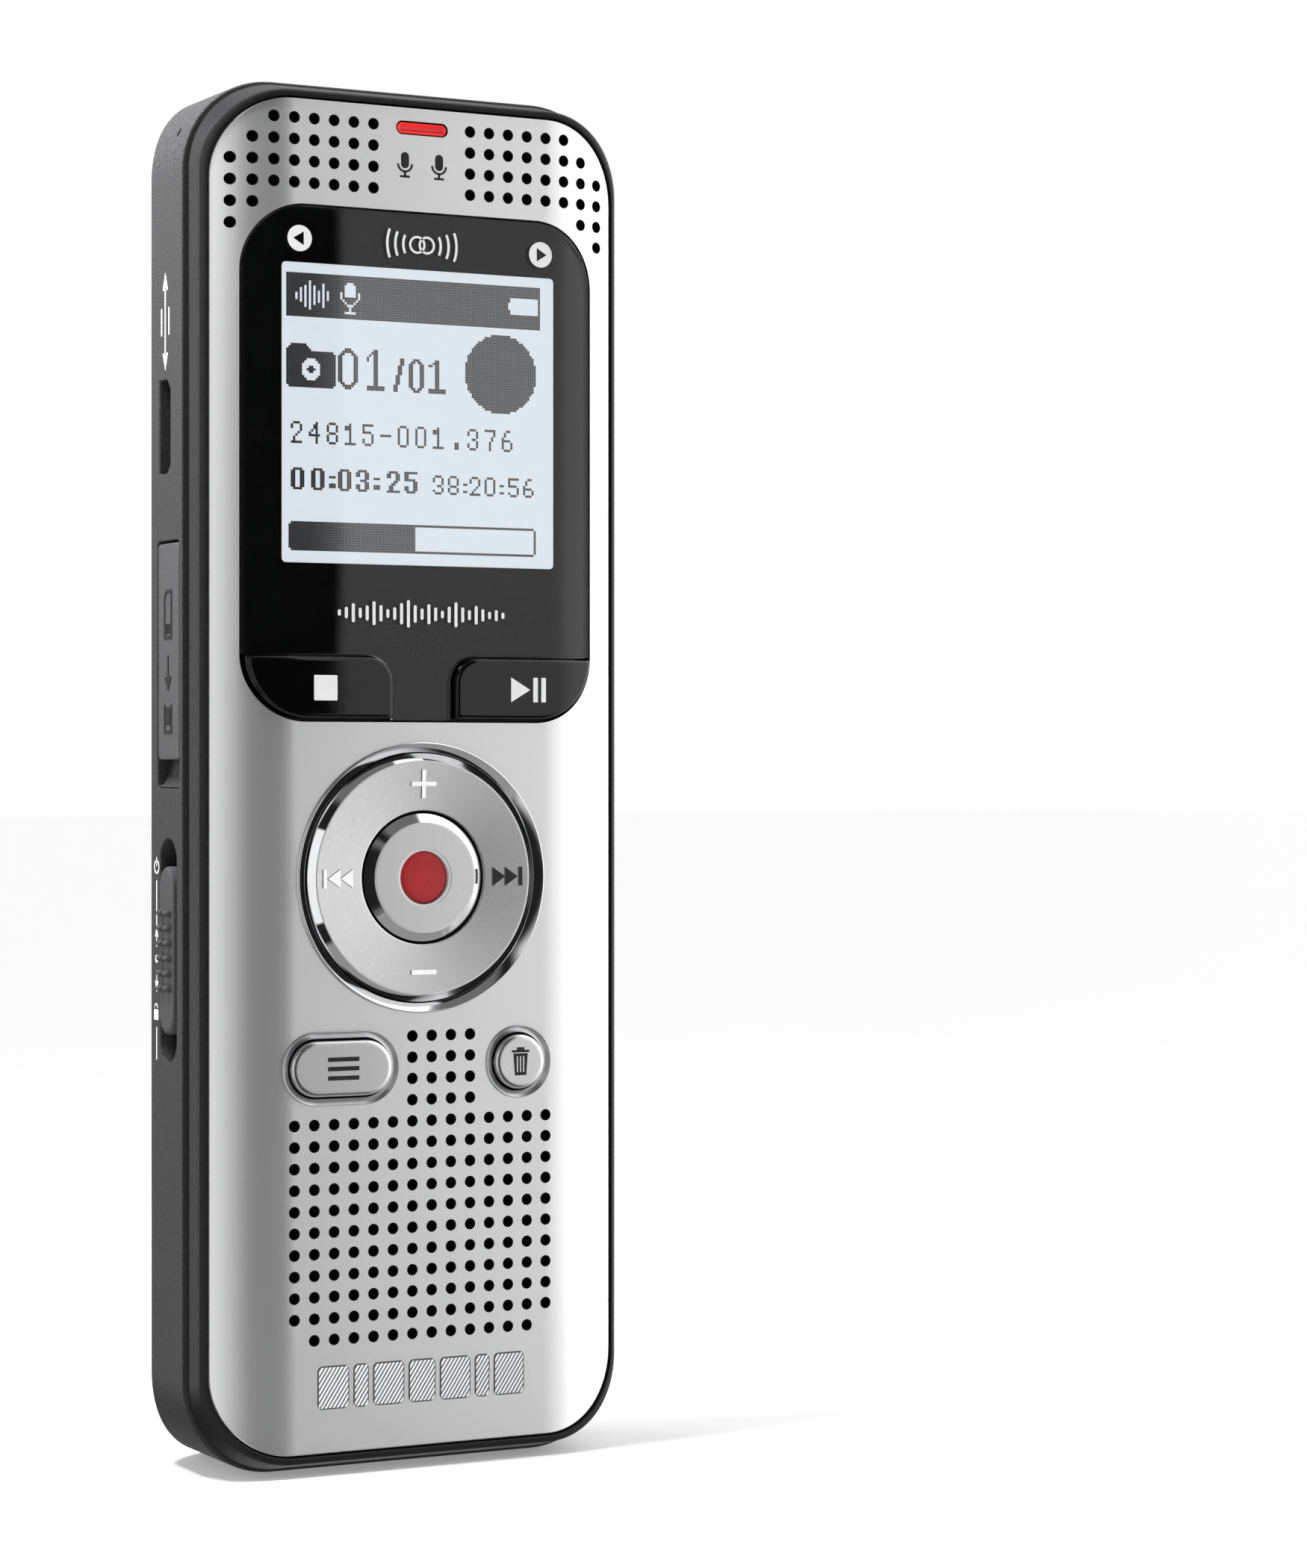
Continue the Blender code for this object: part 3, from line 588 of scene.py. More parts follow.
def block(x, w, z):
    """A plain closed block as a part of a larger piece."""
    corners = [(x[i], w[j], z[k]) for i in (0, 1) for j in (0, 1) for k in (0, 1)]
    faces = [(0, 1, 3, 2), (4, 6, 7, 5), (0, 4, 5, 1), (2, 3, 7, 6), (0, 2, 6, 4), (1, 5, 7, 3)]
    return [world(*c) for c in corners], faces


# ---------------------------------------------------------------- materials

class Nodes:
    """Adds nodes to a shader tree; an input is given a number, a colour or another node's output."""

    def __init__(self, tree):
        self.tree = tree
        tree.nodes.clear()

    def give(self, node, inputs):
        for key, value in inputs.items():
            if isinstance(value, bpy.types.NodeSocket):
                self.tree.links.new(value, node.inputs[key])
            else:
                node.inputs[key].default_value = value

    def add(self, kind, inputs=None, **settings):
        node = self.tree.nodes.new("ShaderNode" + kind)
        for key, value in settings.items():
            setattr(node, key, value)
        self.give(node, inputs or {})
        return node

    def math(self, operation, a, b=0.0):
        return self.add("Math", {0: a, 1: b}, operation=operation).outputs[0]

    def map_range(self, value, low, high, to_low=0.0, to_high=1.0, **settings):
        return self.add("MapRange", {"Value": value, "From Min": low, "From Max": high, "To Min": to_low,
                                     "To Max": to_high}, **settings).outputs[0]

    def ramp(self, value, *stops):
        """A colour ramp with two stops, each a position and a colour."""
        node = self.add("ValToRGB", {0: value})
        for element, (position, colour) in zip(node.color_ramp.elements, stops):
            element.position = position
            element.color = (*colour, 1.0)
        return node.outputs[0]


class Shader(Nodes):
    """A Principled material with helpers that add procedural detail."""

    def __init__(self, slot, name, colour, rough, metal=0.0, coat=0.0, coat_rough=0.05, specular=0.5):
        self.material = bpy.data.materials.new(name)
        self.material.use_nodes = True
        super().__init__(self.material.node_tree)
        self.colour, self.rough = colour, rough
        self.shader = self.add("BsdfPrincipled")
        self.add("OutputMaterial", {"Surface": self.shader.outputs[0]})
        self.set({"Base Color": (*colour, 1.0), "Roughness": rough, "Metallic": metal, "Coat Weight": coat,
                  "Coat Roughness": coat_rough, "Specular IOR Level": specular})
        self.coordinates = self.add("TexCoord").outputs["Object"]
        self.relief = None
        SLOT_OF[self.material.name] = slot

    def set(self, inputs):
        self.give(self.shader, inputs)

    def place(self, stretch):
        if not stretch:
            return self.coordinates
        return self.add("Mapping", {"Scale": stretch, "Vector": self.coordinates}).outputs[0]

    def noise(self, size, detail=2.0, rough=0.5, stretch=None):
        """A noise value whose features are about size mm."""
        return self.add("TexNoise", {"Scale": 1.0 / (size * MM), "Detail": detail, "Roughness": rough,
                                     "Vector": self.place(stretch)}).outputs[0]

    def cells(self, size, stretch=None):
        return self.add("TexVoronoi", {"Scale": 1.0 / (size * MM), "Vector": self.place(stretch)}).outputs[0]

    def tone(self, value, darker, lighter):
        """Varies the colour between two strengths of itself."""
        ends = [[min(1.0, c * share) for c in self.colour] for share in (darker, lighter)]
        self.set({"Base Color": self.ramp(value, (0.3, ends[0]), (0.7, ends[1]))})

    def vary_rough(self, value, amount):
        low, high = max(0.01, self.rough - amount), self.rough + amount
        self.set({"Roughness": self.map_range(value, 0.3, 0.7, low, high)})

    def bump(self, value, strength, height_mm):
        """Adds relief; several calls follow one another."""
        inputs = {"Strength": strength, "Distance": height_mm * MM, "Height": value}
        if self.relief:
            inputs["Normal"] = self.relief
        self.relief = self.add("Bump", inputs).outputs[0]
        self.set({"Normal": self.relief})

    def detailed(self, tone, rough, *bumps):
        """The material with its tone, roughness and relief varied."""
        self.tone(*tone)
        self.vary_rough(*rough)
        for bump in bumps:
            self.bump(*bump)
        return self.material


def silver_paint():
    s = Shader("silver_paint", "silver_paint_look", (0.96, 0.96, 0.965), 0.24, 0.83, 0.2, 0.15)
    return s.detailed((s.noise(0.08, 2.0, 0.6), 0.96, 1.03), (s.noise(0.12), 0.006),
                      (s.noise(0.10, 1.0), 0.03, 0.002))


def moulded(slot, name, colour, rough, grain=0.08, relief=0.35, speckle=1.25, specular=0.5, ior=1.5):
    """Moulded plastic with a spark-eroded grain."""
    s = Shader(slot, name, colour, rough, specular=specular)
    s.set({"IOR": ior})
    fine = s.noise(grain, 3.0, 0.65)
    return s.detailed((fine, 2.0 - speckle, speckle), (s.noise(grain * 2.5), 0.06), (fine, relief, 0.012),
                      (s.noise(2.5), 0.06, 0.02))


def leather_grain(slot, name, colour, rough):
    s = Shader(slot, name, colour, rough)
    return s.detailed((s.noise(0.12, 3.0, 0.6), 0.8, 1.25), (s.noise(0.3), 0.07), (s.cells(0.42), 0.55, 0.035),
                      (s.noise(0.1, 3.0), 0.3, 0.01))


def polished(slot, name, colour, rough):
    s = Shader(slot, name, colour, rough, metal=1.0)
    return s.detailed((s.noise(3.0), 0.96, 1.04), (s.noise(0.8, 3.0), min(0.03, rough * 0.4)),
                      (s.noise(0.9), 0.03, 0.004))


def satin_metal(slot, name, colour, rough):
    s = Shader(slot, name, colour, rough, metal=1.0)
    return s.detailed((s.noise(0.08, 2.0, 0.6), 0.96, 1.04), (s.noise(0.2), 0.03),
                      (s.noise(0.10, 1.0), 0.04, 0.002))


def brushed(slot, name, colour, rough):
    s = Shader(slot, name, colour, rough, metal=1.0)
    lines = s.noise(0.05, 2.0, 0.6, stretch=(1.0, 1.0, 0.03))
    return s.detailed((lines, 0.85, 1.15), (lines, 0.08), (lines, 0.2, 0.004))


def glossy(slot, name, colour, rough, coat=0.0):
    s = Shader(slot, name, colour, rough, coat=coat, coat_rough=0.03)
    return s.detailed((s.noise(2.0), 0.93, 1.07), (s.noise(0.7, 3.0), 0.3 * rough), (s.noise(1.6), 0.01, 0.003))


def print_ink(slot, name, colour, rough=0.5, specular=0.3):
    s = Shader(slot, name, colour, rough, specular=specular)
    return s.detailed((s.noise(0.05), 0.96, 1.03), (s.noise(0.3), 0.04), (s.noise(0.06), 0.1, 0.003))


def rubbery(slot, name, colour):
    s = Shader(slot, name, colour, 0.75)
    return s.detailed((s.noise(0.2, 3.0), 0.85, 1.2), (s.noise(0.5), 0.08), (s.noise(0.12, 3.0), 0.25, 0.01))


def woven(slot, name, colour):
    """Fine acoustic cloth behind the grille holes."""
    s = Shader(slot, name, colour, 0.95, specular=0.15)
    threads = s.cells(0.16)
    return s.detailed((threads, 0.5, 1.3), (threads, 0.04), (threads, 0.6, 0.03))


def circuit_board(slot, name, colour):
    s = Shader(slot, name, colour, 0.4, coat=0.3)
    tracks = s.cells(0.9, stretch=(1.0, 1.0, 0.35))
    return s.detailed((tracks, 0.6, 1.35), (s.noise(0.5), 0.08), (tracks, 0.2, 0.03))


def cell_sleeve(slot, name, colour):
    s = Shader(slot, name, colour, 0.28, metal=0.3, coat=0.5)
    return s.detailed((s.noise(1.5, 3.0, stretch=(1.0, 1.0, 0.25)), 0.85, 1.2), (s.noise(0.8), 0.05),
                      (s.noise(1.2), 0.08, 0.02))


def clear_window():
    """Clear acrylic; both its faces add to the gloss."""
    s = Shader("clear_window", "clear_window_look", (1.0, 1.0, 1.0), 0.008)
    s.tone(s.noise(2.0), 0.99, 1.01)
    s.set({"Transmission Weight": 1.0, "IOR": 1.36, "Roughness": s.map_range(s.noise(0.9), 0.3, 0.7, 0.006, 0.010)})
    return s.material


def display_painted_glow():
    """The pale face of the display; its glow is painted light in place of the studio light the window keeps from
    it.
    """
    s = Shader("display_glass", "display_look", (0.20, 0.22, 0.24), 0.8, specular=0.0)
    s.set({"Emission Color": (0.745, 0.81, 0.865, 1.0), "Emission Strength": 0.84})
    fine = s.noise(0.12)
    return s.detailed((fine, 0.96, 1.03), (s.noise(0.4), 0.05), (fine, 0.05, 0.003))


def display_pixels():
    """Dark display dots, each with a paler edge. Their glow is painted light, dimmed towards the left side of the
    display as painted shade.
    """
    s = Shader("display_glass", "display_pixel_look", (0.05, 0.05, 0.055), 0.8, specular=0.0)
    split = s.add("SeparateXYZ", {0: s.coordinates})
    edges = []
    for axis in ("X", "Z"):
        cell = s.math("FRACT", s.math("DIVIDE", s.math("ADD", split.outputs[axis], 50 * PIXEL * MM), PIXEL * MM))
        edges.append(s.math("ABSOLUTE", s.math("SUBTRACT", cell, 0.5)))
    dots = s.ramp(s.math("MAXIMUM", *edges), (0.38, (0.035, 0.036, 0.038)), (0.44, (0.21, 0.22, 0.23)))
    # Painted shade: the dots' glow is dimmed towards the left side of the display.
    painted_shade_left = s.map_range(split.outputs["X"], -9.5 * MM, -5.5 * MM, 0.15, 1.0)
    s.set({"Emission Color": dots, "Emission Strength": painted_shade_left})
    return s.detailed((s.noise(0.1), 0.9, 1.1), (s.noise(0.3), 0.05))


SILVER = silver_paint()
BLACK_CASE = moulded("black_case", "black_case_look", (0.010, 0.010, 0.0105), 0.36, 0.10, 0.3, ior=1.32)
SHELL = moulded("grey_shell", "grey_shell_look", (0.030, 0.030, 0.031), 0.50, 0.13, 0.8, 1.7, ior=1.40)
DOOR_GRAIN = leather_grain("grey_shell", "card_door_look", (0.050, 0.050, 0.052), 0.5)
RUBBER_KNOB = moulded("grey_shell", "hold_knob_look", (0.045, 0.045, 0.047), 0.5, 0.12)
GLOSS_BLACK = glossy("gloss_black", "gloss_black_look", (0.0012, 0.0012, 0.0014), 0.03)
PRINT_BLACK = print_ink("gloss_black", "window_print_look", (0.004, 0.004, 0.0045), 0.9, 0.0)
CLEAR = clear_window()
# The display's glow is painted light.
DISPLAY = display_painted_glow()
PIXELS = display_pixels()
CHROME = polished("chrome", "chrome_look", (0.84, 0.84, 0.85), 0.06)
BEZEL = satin_metal("chrome", "small_bezel_look", (0.62, 0.62, 0.63), 0.30)
MARK_BRIGHT = print_ink("chrome", "mark_bright_look", (0.93, 0.93, 0.93), 0.3)
MARK_DARK = glossy("chrome", "mark_dark_look", (0.022, 0.022, 0.023), 0.2)
# Painted shade: the side walls of the raised signs on the navigation ring are dark.
MARK_WALL_SHADE = print_ink("chrome", "mark_wall_shade_look", (0.05, 0.05, 0.05), 0.4)
# Painted reflection: the wall of the well round the red disc is a pale diffuse grey in place of the chrome's
# reflection.
WELL_PAINTED_SHEEN = print_ink("chrome", "well_wall_painted_sheen_look", (0.55, 0.55, 0.56), 0.35)
RIDGE = print_ink("silver_paint", "ridge_look", (0.90, 0.90, 0.91), 0.3, 0.5)
TILE = print_ink("silver_paint", "tile_look", (0.07, 0.07, 0.072), 0.4)
SATIN = satin_metal("silver_button", "silver_button_look", (0.97, 0.97, 0.972), 0.24)
RED = glossy("red_plastic", "red_plastic_look", (0.38, 0.012, 0.015), 0.32)
RED_LIGHT = glossy("red_plastic", "red_light_look", (0.86, 0.030, 0.030), 0.15, 0.25)
STEEL = brushed("steel", "steel_look", (0.50, 0.50, 0.52), 0.3)
BOARD = circuit_board("board_green", "board_look", (0.02, 0.12, 0.05))
CHIP = moulded("chip_black", "chip_look", (0.03, 0.03, 0.03), 0.5, 0.15)
RUBBER = rubbery("rubber", "rubber_look", (0.035, 0.035, 0.035))
WHITE = moulded("white_plastic", "white_plastic_look", (0.78, 0.78, 0.76), 0.4, speckle=1.04)
SLEEVE = cell_sleeve("cell_wrap", "cell_wrap_look", (0.04, 0.14, 0.30))
PAPER = rubbery("paper_cone", "paper_cone_look", (0.06, 0.06, 0.06))
CLOTH = woven("rubber", "grille_cloth_look", (0.006, 0.006, 0.006))
HOLE_BLACK = moulded("silver_paint", "hole_wall_look", (0.008, 0.008, 0.008), 0.6, specular=0.2)
INK_WHITE = print_ink("white_plastic", "white_ink_look", (0.80, 0.80, 0.80))
INK_WALL = print_ink("white_plastic", "side_ink_look", (0.62, 0.62, 0.62))
INK_DARK = print_ink("chip_black", "dark_ink_look", (0.025, 0.025, 0.025), 0.6, 0.1)


def dress_cad_nodes():
    """Gives every CAD node that is carried over the look of its slot."""
    plain = (SILVER, BLACK_CASE, SHELL, GLOSS_BLACK, CLEAR, DISPLAY, CHROME, SATIN, RED, STEEL, BOARD, CHIP,
             RUBBER, WHITE, SLEEVE, PAPER)
    look_of = {SLOT_OF[look.name]: look for look in plain}
    for row in frame["record"]["subparts"]:
        materials = frame["nodes"][row["node"]].data.materials
        materials.clear()
        materials.append(look_of[row["material_slot"]])


# ---------------------------------------------------------------- front plate and case

def grille_holes():
    """Centres of the speaker and microphone holes."""
    centres = []
    column = [(c - 6.5) * PITCH for c in range(-3, 17)]
    for row in range(-4, 11):
        first, last = (6, 9) if row < 0 else ((1, 12) if row == 10 else (0, 13))
        centres += [(column[c + 3], SPEAKER_TOP_Z - row * PITCH) for c in range(first, last + 1)]
    left = {0: (-1, 4), 1: (-2, 4), 2: (-3, 4), 3: (-3, 4), 4: (-3, -2), 5: (-3, -3)}
    for row, (first, last) in left.items():
        for c in range(first, last + 1):
            x = column[c + 3]
            centres += [(x, MIC_TOP_Z - row * PITCH), (-x, MIC_TOP_Z - row * PITCH)]
    return centres


def build_plate():
    edge = [(0.10, 0.0), (0.03, -0.03), (0.0, -0.10), (0.0, PLATE_DEEP)]
    hole_edge = [(0.03, 0.0), (0.0, -0.03), (0.0, PLATE_DEEP)]
    plain = [(0.04, 0.0), (0.0, -0.04), (0.0, PLATE_DEEP)]
    outline = spaced(rounded(0, MID_Z, 2 * PLATE_HALF_X, 2 * PLATE_HALF_Z, PLATE_R, 24), 1.0)
    openings = [lens_field(GAP), circle(NAV_X, NAV_Z, 10.63, 96), pill(MENU_X, ROW_Z, 9.51, 5.42),
                pill(DELETE_X, ROW_Z, 5.42, 5.42)]
    holes = [pill(0, LIGHT_Z, 4.5, 1.05)] + [circle(x, z, HOLE_R, 20) for x, z in grille_holes()]
    edges = [(outline, edge, 0)] + [(loop, plain, 1) for loop in openings]
    edges += [(loop, hole_edge, 1) for loop in holes]
    sides = grid((FLAT_HALF - 0.2, PLATE_HALF_X), (2, TOP_Z - 2), 0.45, 0.9)
    inner = sides + mirrored(sides) + grid((-10, 10.2), (3, TOP_Z - 3), 2.2, 2.2)
    panel("silver_plate", edges, on_front, [SILVER, HOLE_BLACK], ["front_plate"], inner, 0.5)


def case_outline(w):
    """Half the width, half the height and the corner radius of the tapered case at one depth."""
    share = (w + CASE_PROUD) / (CASE_REAR_W + CASE_PROUD)
    return 17.87 + 0.86 * share, 54.15 + 0.89 * share, 6.6 + 0.7 * share


def build_rim():
    """The black rim round the plate and the band behind it, as one closed ring."""
    def loop(half_x, half_z, r, grow=0.0):
        return rounded(0, MID_Z, 2 * (half_x + grow), 2 * (half_z + grow), r + grow, 24, 30)

    inner = (PLATE_HALF_X + GAP, PLATE_HALF_Z + GAP, PLATE_R + GAP)
    sections = [[on_front(x, z, lift) for x, z in loop(*inner, grow)]
                for grow, lift in ((0.0, -1.6), (0.0, 0.10), (0.03, 0.17), (0.09, CASE_PROUD))]
    tops = []  # the depth of the rim's crest at each point of the outline
    for i in range(len(sections[0])):
        w = 0.0
        for _ in range(6):
            w = front_w(loop(*case_outline(w))[i][0]) - CASE_PROUD
        tops.append(w)
    round_deep = 0.24
    for inset, drop in ((0.20, 0.0), (0.10, 0.03), (0.03, 0.10), (0.0, round_deep)):
        section = []
        for i, top in enumerate(tops):
            x, z = loop(*case_outline(top + drop), -inset)[i]
            w = front_w(x, CASE_PROUD)
            section.append(world(x, max(w, top) + drop if drop else w, z))
        sections.append(section)
    for share in (0.5, 0.85):
        section = []
        for i, top in enumerate(tops):
            w = top + round_deep + (CASE_REAR_W - 0.25 - top - round_deep) * share
            x, z = loop(*case_outline(w))[i]
            section.append(world(x, w, z))
        sections.append(section)
    for inset, w in ((0.0, 3.15), (0.02, 3.28), (0.07, 3.38), (0.15, CASE_REAR_W)):
        sections.append([world(x, w, z) for x, z in loop(*case_outline(w), -inset)])
    sections.append([world(x, CASE_REAR_W, z) for x, z in loop(16.9, 53.2, 5.8)])
    many("case_rim", [stack(sections, closed=True)], BLACK_CASE, ["front_case"], sharp=50)


def build_case_panel():
    """The black panel of the case behind the plate, with its openings."""
    low, high = -0.95, -1.75
    rings = [(0.0, low), (0.0, high)]
    loops = [rounded(0, 83.65, 26.9, 28.2, 0.5, 3), circle(NAV_X, NAV_Z, 10.13, 64), circle(0, 18.9, 9.3, 48),
             pill(MENU_X, ROW_Z, 8.8, 4.75), pill(DELETE_X, ROW_Z, 4.75, 4.75), pill(0, LIGHT_Z, 4.5, 1.05)]
    edges = [(spaced(rounded(0, MID_Z, 35.6, 107.2, 6.6, 16), 2.0), rings, 0)]
    edges += [(key_outline(side), [(-0.15, low), (-0.15, high)], 0) for side, _ in SIDES]
    edges += [(loop, rings, 0) for loop in loops]
    sides = grid((11.0, 17.5), (2, TOP_Z - 2), 0.9, 2.0)
    panel("case_panel", edges, on_front, BLACK_CASE, (), sides + mirrored(sides), 0.9)


def build_grille_cloth():
    """Black acoustic cloth under the speaker and microphone holes."""
    rings = [(0.0, -0.82), (0.0, -0.93)]
    loops = [spaced(rounded(0, 21.6, 24.6, 27.6, 1.0, 4), 1.5), pill(MENU_X, ROW_Z, 9.6, 5.5),
             pill(DELETE_X, ROW_Z, 5.5, 5.5)]
    cells = grid((-12, 12), (8, 36), 0.8, 1.6)
    panel("speaker_cloth", [(loop, rings, 0) for loop in loops], on_front, CLOTH, (), cells, 0.8)
    corners = [(3.0, 107.9), (3.0, 101.4), (13.6, 101.4), (15.4, 97.6), (16.9, 97.6), (16.9, 105.2), (14.8, 107.9)]
    cells = grid((11, 17), (97.5, 108), 0.6, 1.2)
    for side, word in SIDES:
        edges = [(spaced(mirrored(corners, side), 0.9), rings, 0)]
        panel(f"microphone_cloth_{word}", edges, on_front, CLOTH, (), mirrored(cells, side), 0.6)


# ---------------------------------------------------------------- window and display

def build_window():
    edge = [(0.05, 0.0), (0.015, -0.015), (0.0, -0.05), (0.0, -LENS_THICK)]
    inner = grid((10.8, 15.3), (61, 100.3), 0.35, 0.7)
    inner += mirrored(inner)
    panel("window", [(lens_outline(), edge, 0)], on_front, CLEAR, ["display_lens"], inner, 0.4)
    high, low = -LENS_THICK - 0.01, -LENS_THICK - 0.05
    screen = spaced(bounded(-11.96, 11.96, 72.2, 95.9, 0.35, 6), 1.0)
    edges = [(lens_outline(), [(0.02, high), (0.02, low)], 0), (screen, [(0.0, high), (0.0, low)], 0)]
    panel("window_print", edges, on_front, PRINT_BLACK, (), inner, 0.4)


def run_boxes(rows, origin_x, origin_z, w, thick):
    """Thin blocks for the dark dots of a bitmap, one for each run in a row.

    rows are strings from the top down, with # for a dark dot; origin is the top left corner.
    """
    parts = []
    for r, row in enumerate(rows):
        c = 0
        while c < len(row):
            if row[c] != "#":
                c += 1
                continue
            start = c
            while c < len(row) and row[c] == "#":
                c += 1
            x = (origin_x + start * PIXEL, origin_x + c * PIXEL)
            z = (origin_z - (r + 1) * PIXEL, origin_z - r * PIXEL)
            parts.append(block(x, (w - thick, w), z))
    return parts


DIGITS = {
    "0": (".###.", "#...#", "#...#", "#...#", "#...#", "#...#", ".###."),
    "1": ("..#..", "###..", "..#..", "..#..", "..#..", "..#..", "#####"),
    "2": (".###.", "#...#", "....#", "...#.", "..#..", ".#...", "#####"),
    "3": (".###.", "#...#", "....#", "..##.", "....#", "#...#", ".###."),
    "4": ("...#.", "..##.", ".#.#.", "#..#.", "#####", "...#.", "...#."),
    "5": ("#####", "#....", "####.", "....#", "....#", "#...#", ".###."),
    "6": ("..##.", ".#...", "#....", "####.", "#...#", "#...#", ".###."),
    "7": ("#####", "....#", "...#.", "...#.", "..#..", "..#..", "..#.."),
    "8": (".###.", "#...#", "#...#", ".###.", "#...#", "#...#", ".###."),
    ":": ("..", "..", "##", "..", "..", "##", ".."),
    ".": (".....", ".....", ".....", ".....", ".....", "..##.", "..##."),
    "-": (".....", ".....", ".....", "#####", ".....", ".....", "....."),
}
TALL_9 = (0, 1, 1, 2, 3, 4, 5, 5, 6)
TALL_8 = (0, 1, 1, 2, 3, 4, 5, 6)

BIG_ZERO = ["...###...", "..#####..", ".##...##."] + ["##.....##"] * 11 + [".##...##.", "..#####..", "...###..."]
BIG_ONE = ["...##...", "..###...", ".#.##...", "#..##...", "#..##..."] + ["...##..."] * 10 + ["########"] * 2
SLASH = ["...##"] * 3 + ["..##."] * 4 + [".##.."] * 4 + ["##..."] * 3
SMALL_ZERO = ["..###..", ".##.##."] + ["##...##"] * 10 + [".##.##.", "..###.."]
SMALL_ONE = ["...##...", "..###...", "##.##..."] + ["...##..."] * 9 + ["########"] * 2


def glyph(ch, order, bold=False):
    """Rows of dots for one digit; bold widens each stroke to the right."""
    rows = [DIGITS[ch][i] for i in order]
    if bold:
        rows = ["".join("#" if "#" in (row + ".")[max(0, i - 1):i + 1] else "." for i in range(len(row) + 1))
                for row in rows]
    return rows


def blank(wide, tall):
    return [["."] * wide for _ in range(tall)]


def draw_disc(cells, cx, cy, r, mark="#"):
    for y, row in enumerate(cells):
        for x in range(len(row)):
            if (x + 0.5 - cx) ** 2 + (y + 0.5 - cy) ** 2 <= r * r:
                row[x] = mark


def draw_rect(cells, x0, y0, x1, y1, mark="#"):
    for y in range(y0, y1):
        cells[y][x0:x1] = [mark] * (x1 - x0)


def header_rows():
    """The dark bar at the top of the display with its pale level, microphone and battery signs."""
    cells = blank(116, 18)
    draw_rect(cells, 0, 0, 116, 18)
    for i, tall in enumerate((3, 6, 9, 12, 8, 5, 10, 4)):
        draw_rect(cells, 4 + 2 * i, 9 - tall // 2, 5 + 2 * i, 9 - tall // 2 + tall, ".")
    draw_disc(cells, 28.5, 5.5, 2.6, ".")
    for x, y in ((24, 7), (24, 8), (24, 9), (25, 10), (26, 11), (27, 12), (28, 12), (29, 12), (30, 11),
                 (31, 10), (32, 9), (32, 8), (32, 7)):
        cells[y][x] = "."
    for rect in ((26, 5, 31, 9), (28, 12, 29, 15), (26, 15, 31, 16), (102, 5, 115, 12), (101, 7, 102, 10)):
        draw_rect(cells, *rect, ".")
    return cells


def folder_rows():
    cells = blank(22, 18)
    for rect in ((2, 0, 9, 1), (1, 1, 10, 2), (0, 2, 11, 18), (0, 3, 22, 18)):
        draw_rect(cells, *rect)
    for x, y in ((21, 3), (0, 17), (21, 17)):
        cells[y][x] = "."
    draw_disc(cells, 11, 10.5, 4.3, ".")
    draw_disc(cells, 11, 10.5, 1.6)
    return cells


def disc_rows():
    cells = blank(33, 33)
    draw_disc(cells, 16.5, 16.5, 16.6)
    return cells


def bar_rows():
    cells = blank(113, 12)
    draw_rect(cells, 1, 0, 112, 12)
    draw_rect(cells, 0, 1, 113, 11)
    draw_rect(cells, 57, 1, 112, 11, ".")
    return cells


def build_display():
    low, high = box_mm("lcd_glass")
    face_w = LENS_THICK + 0.12
    step_w = face_w + 0.45
    rings = [(1.05, -face_w), (1.0, -face_w - 0.05), (1.0, -step_w), (0.0, -step_w), (0.0, -(high[1] - FACE_Y))]
    edges = [(bounded(low[0], high[0], low[2], high[2], 1.4, 6), rings, 0)]
    panel("display", edges, flat_front, DISPLAY, ["lcd_glass"], grid((-12, 12), (71, 96), 3, 3), 3)
    signs = [(header_rows(), 0, 95.1), (folder_rows(), 0, 89.45), (disc_rows(), 81, 91.1), (bar_rows(), 1, 75.5)]
    for rows, column in ((BIG_ZERO, 23), (BIG_ONE, 36), (SLASH, 48), (SMALL_ZERO, 55), (SMALL_ONE, 64)):
        signs.append((rows, column, 86.0 + len(rows) * PIXEL))
    for text, order, z, bold, columns in (
        ("24815-001.376", TALL_9, 83.35, False, range(2, 99, 8)),
        ("00:03:25", TALL_9, 79.75, True, (2, 11, 19, 23, 31, 39, 45, 53)),
        ("38:20:56", TALL_8, 79.55, False, (66, 73, 80, 83, 90, 97, 101, 108)),
    ):
        signs += [(glyph(ch, order, bold), column, z) for ch, column in zip(text, columns)]
    first = round(-11.6 / PIXEL)
    parts = []
    for rows, column, z in signs:
        parts += run_boxes(rows, (first + column) * PIXEL, round(z / PIXEL) * PIXEL, face_w + 0.004, 0.02)
    many("display_dots", parts, PIXELS)


# ---------------------------------------------------------------- buttons

def build_corner_keys():
    edge = [(0.34, 0.6), (0.20, 0.585), (0.09, 0.53), (0.02, 0.42), (0.0, 0.3), (0.0, -2.0)]
    for (side, _), key in zip(SIDES, ("stop", "play")):
        inner = mirrored(grid((10.8, 15), (60, 65), 0.35, 0.5), side)
        panel(f"{key}_key_cap", [(key_outline(side), edge, 0)], on_front, GLOSS_BLACK, [f"{key}_button"], inner,
              0.4, f"{key}_key", 40)
    left = 9.18 - 1.53
    stop = [[rounded(-8.63, 62.31, 2.0, 2.0, 0.06, 2)]]
    play = [[[(left, 61.3), (left + 1.71, 62.3), (left, 63.3)]]]
    play += [[rounded(left + dx, 62.3, 0.41, 2.0, 0.05, 2)] for dx in (2.2, 2.93)]
    for key, groups in (("stop", stop), ("play", play)):
        decal(f"{key}_icon", groups, on_front, 0.612, INK_WHITE, f"{key}_key")


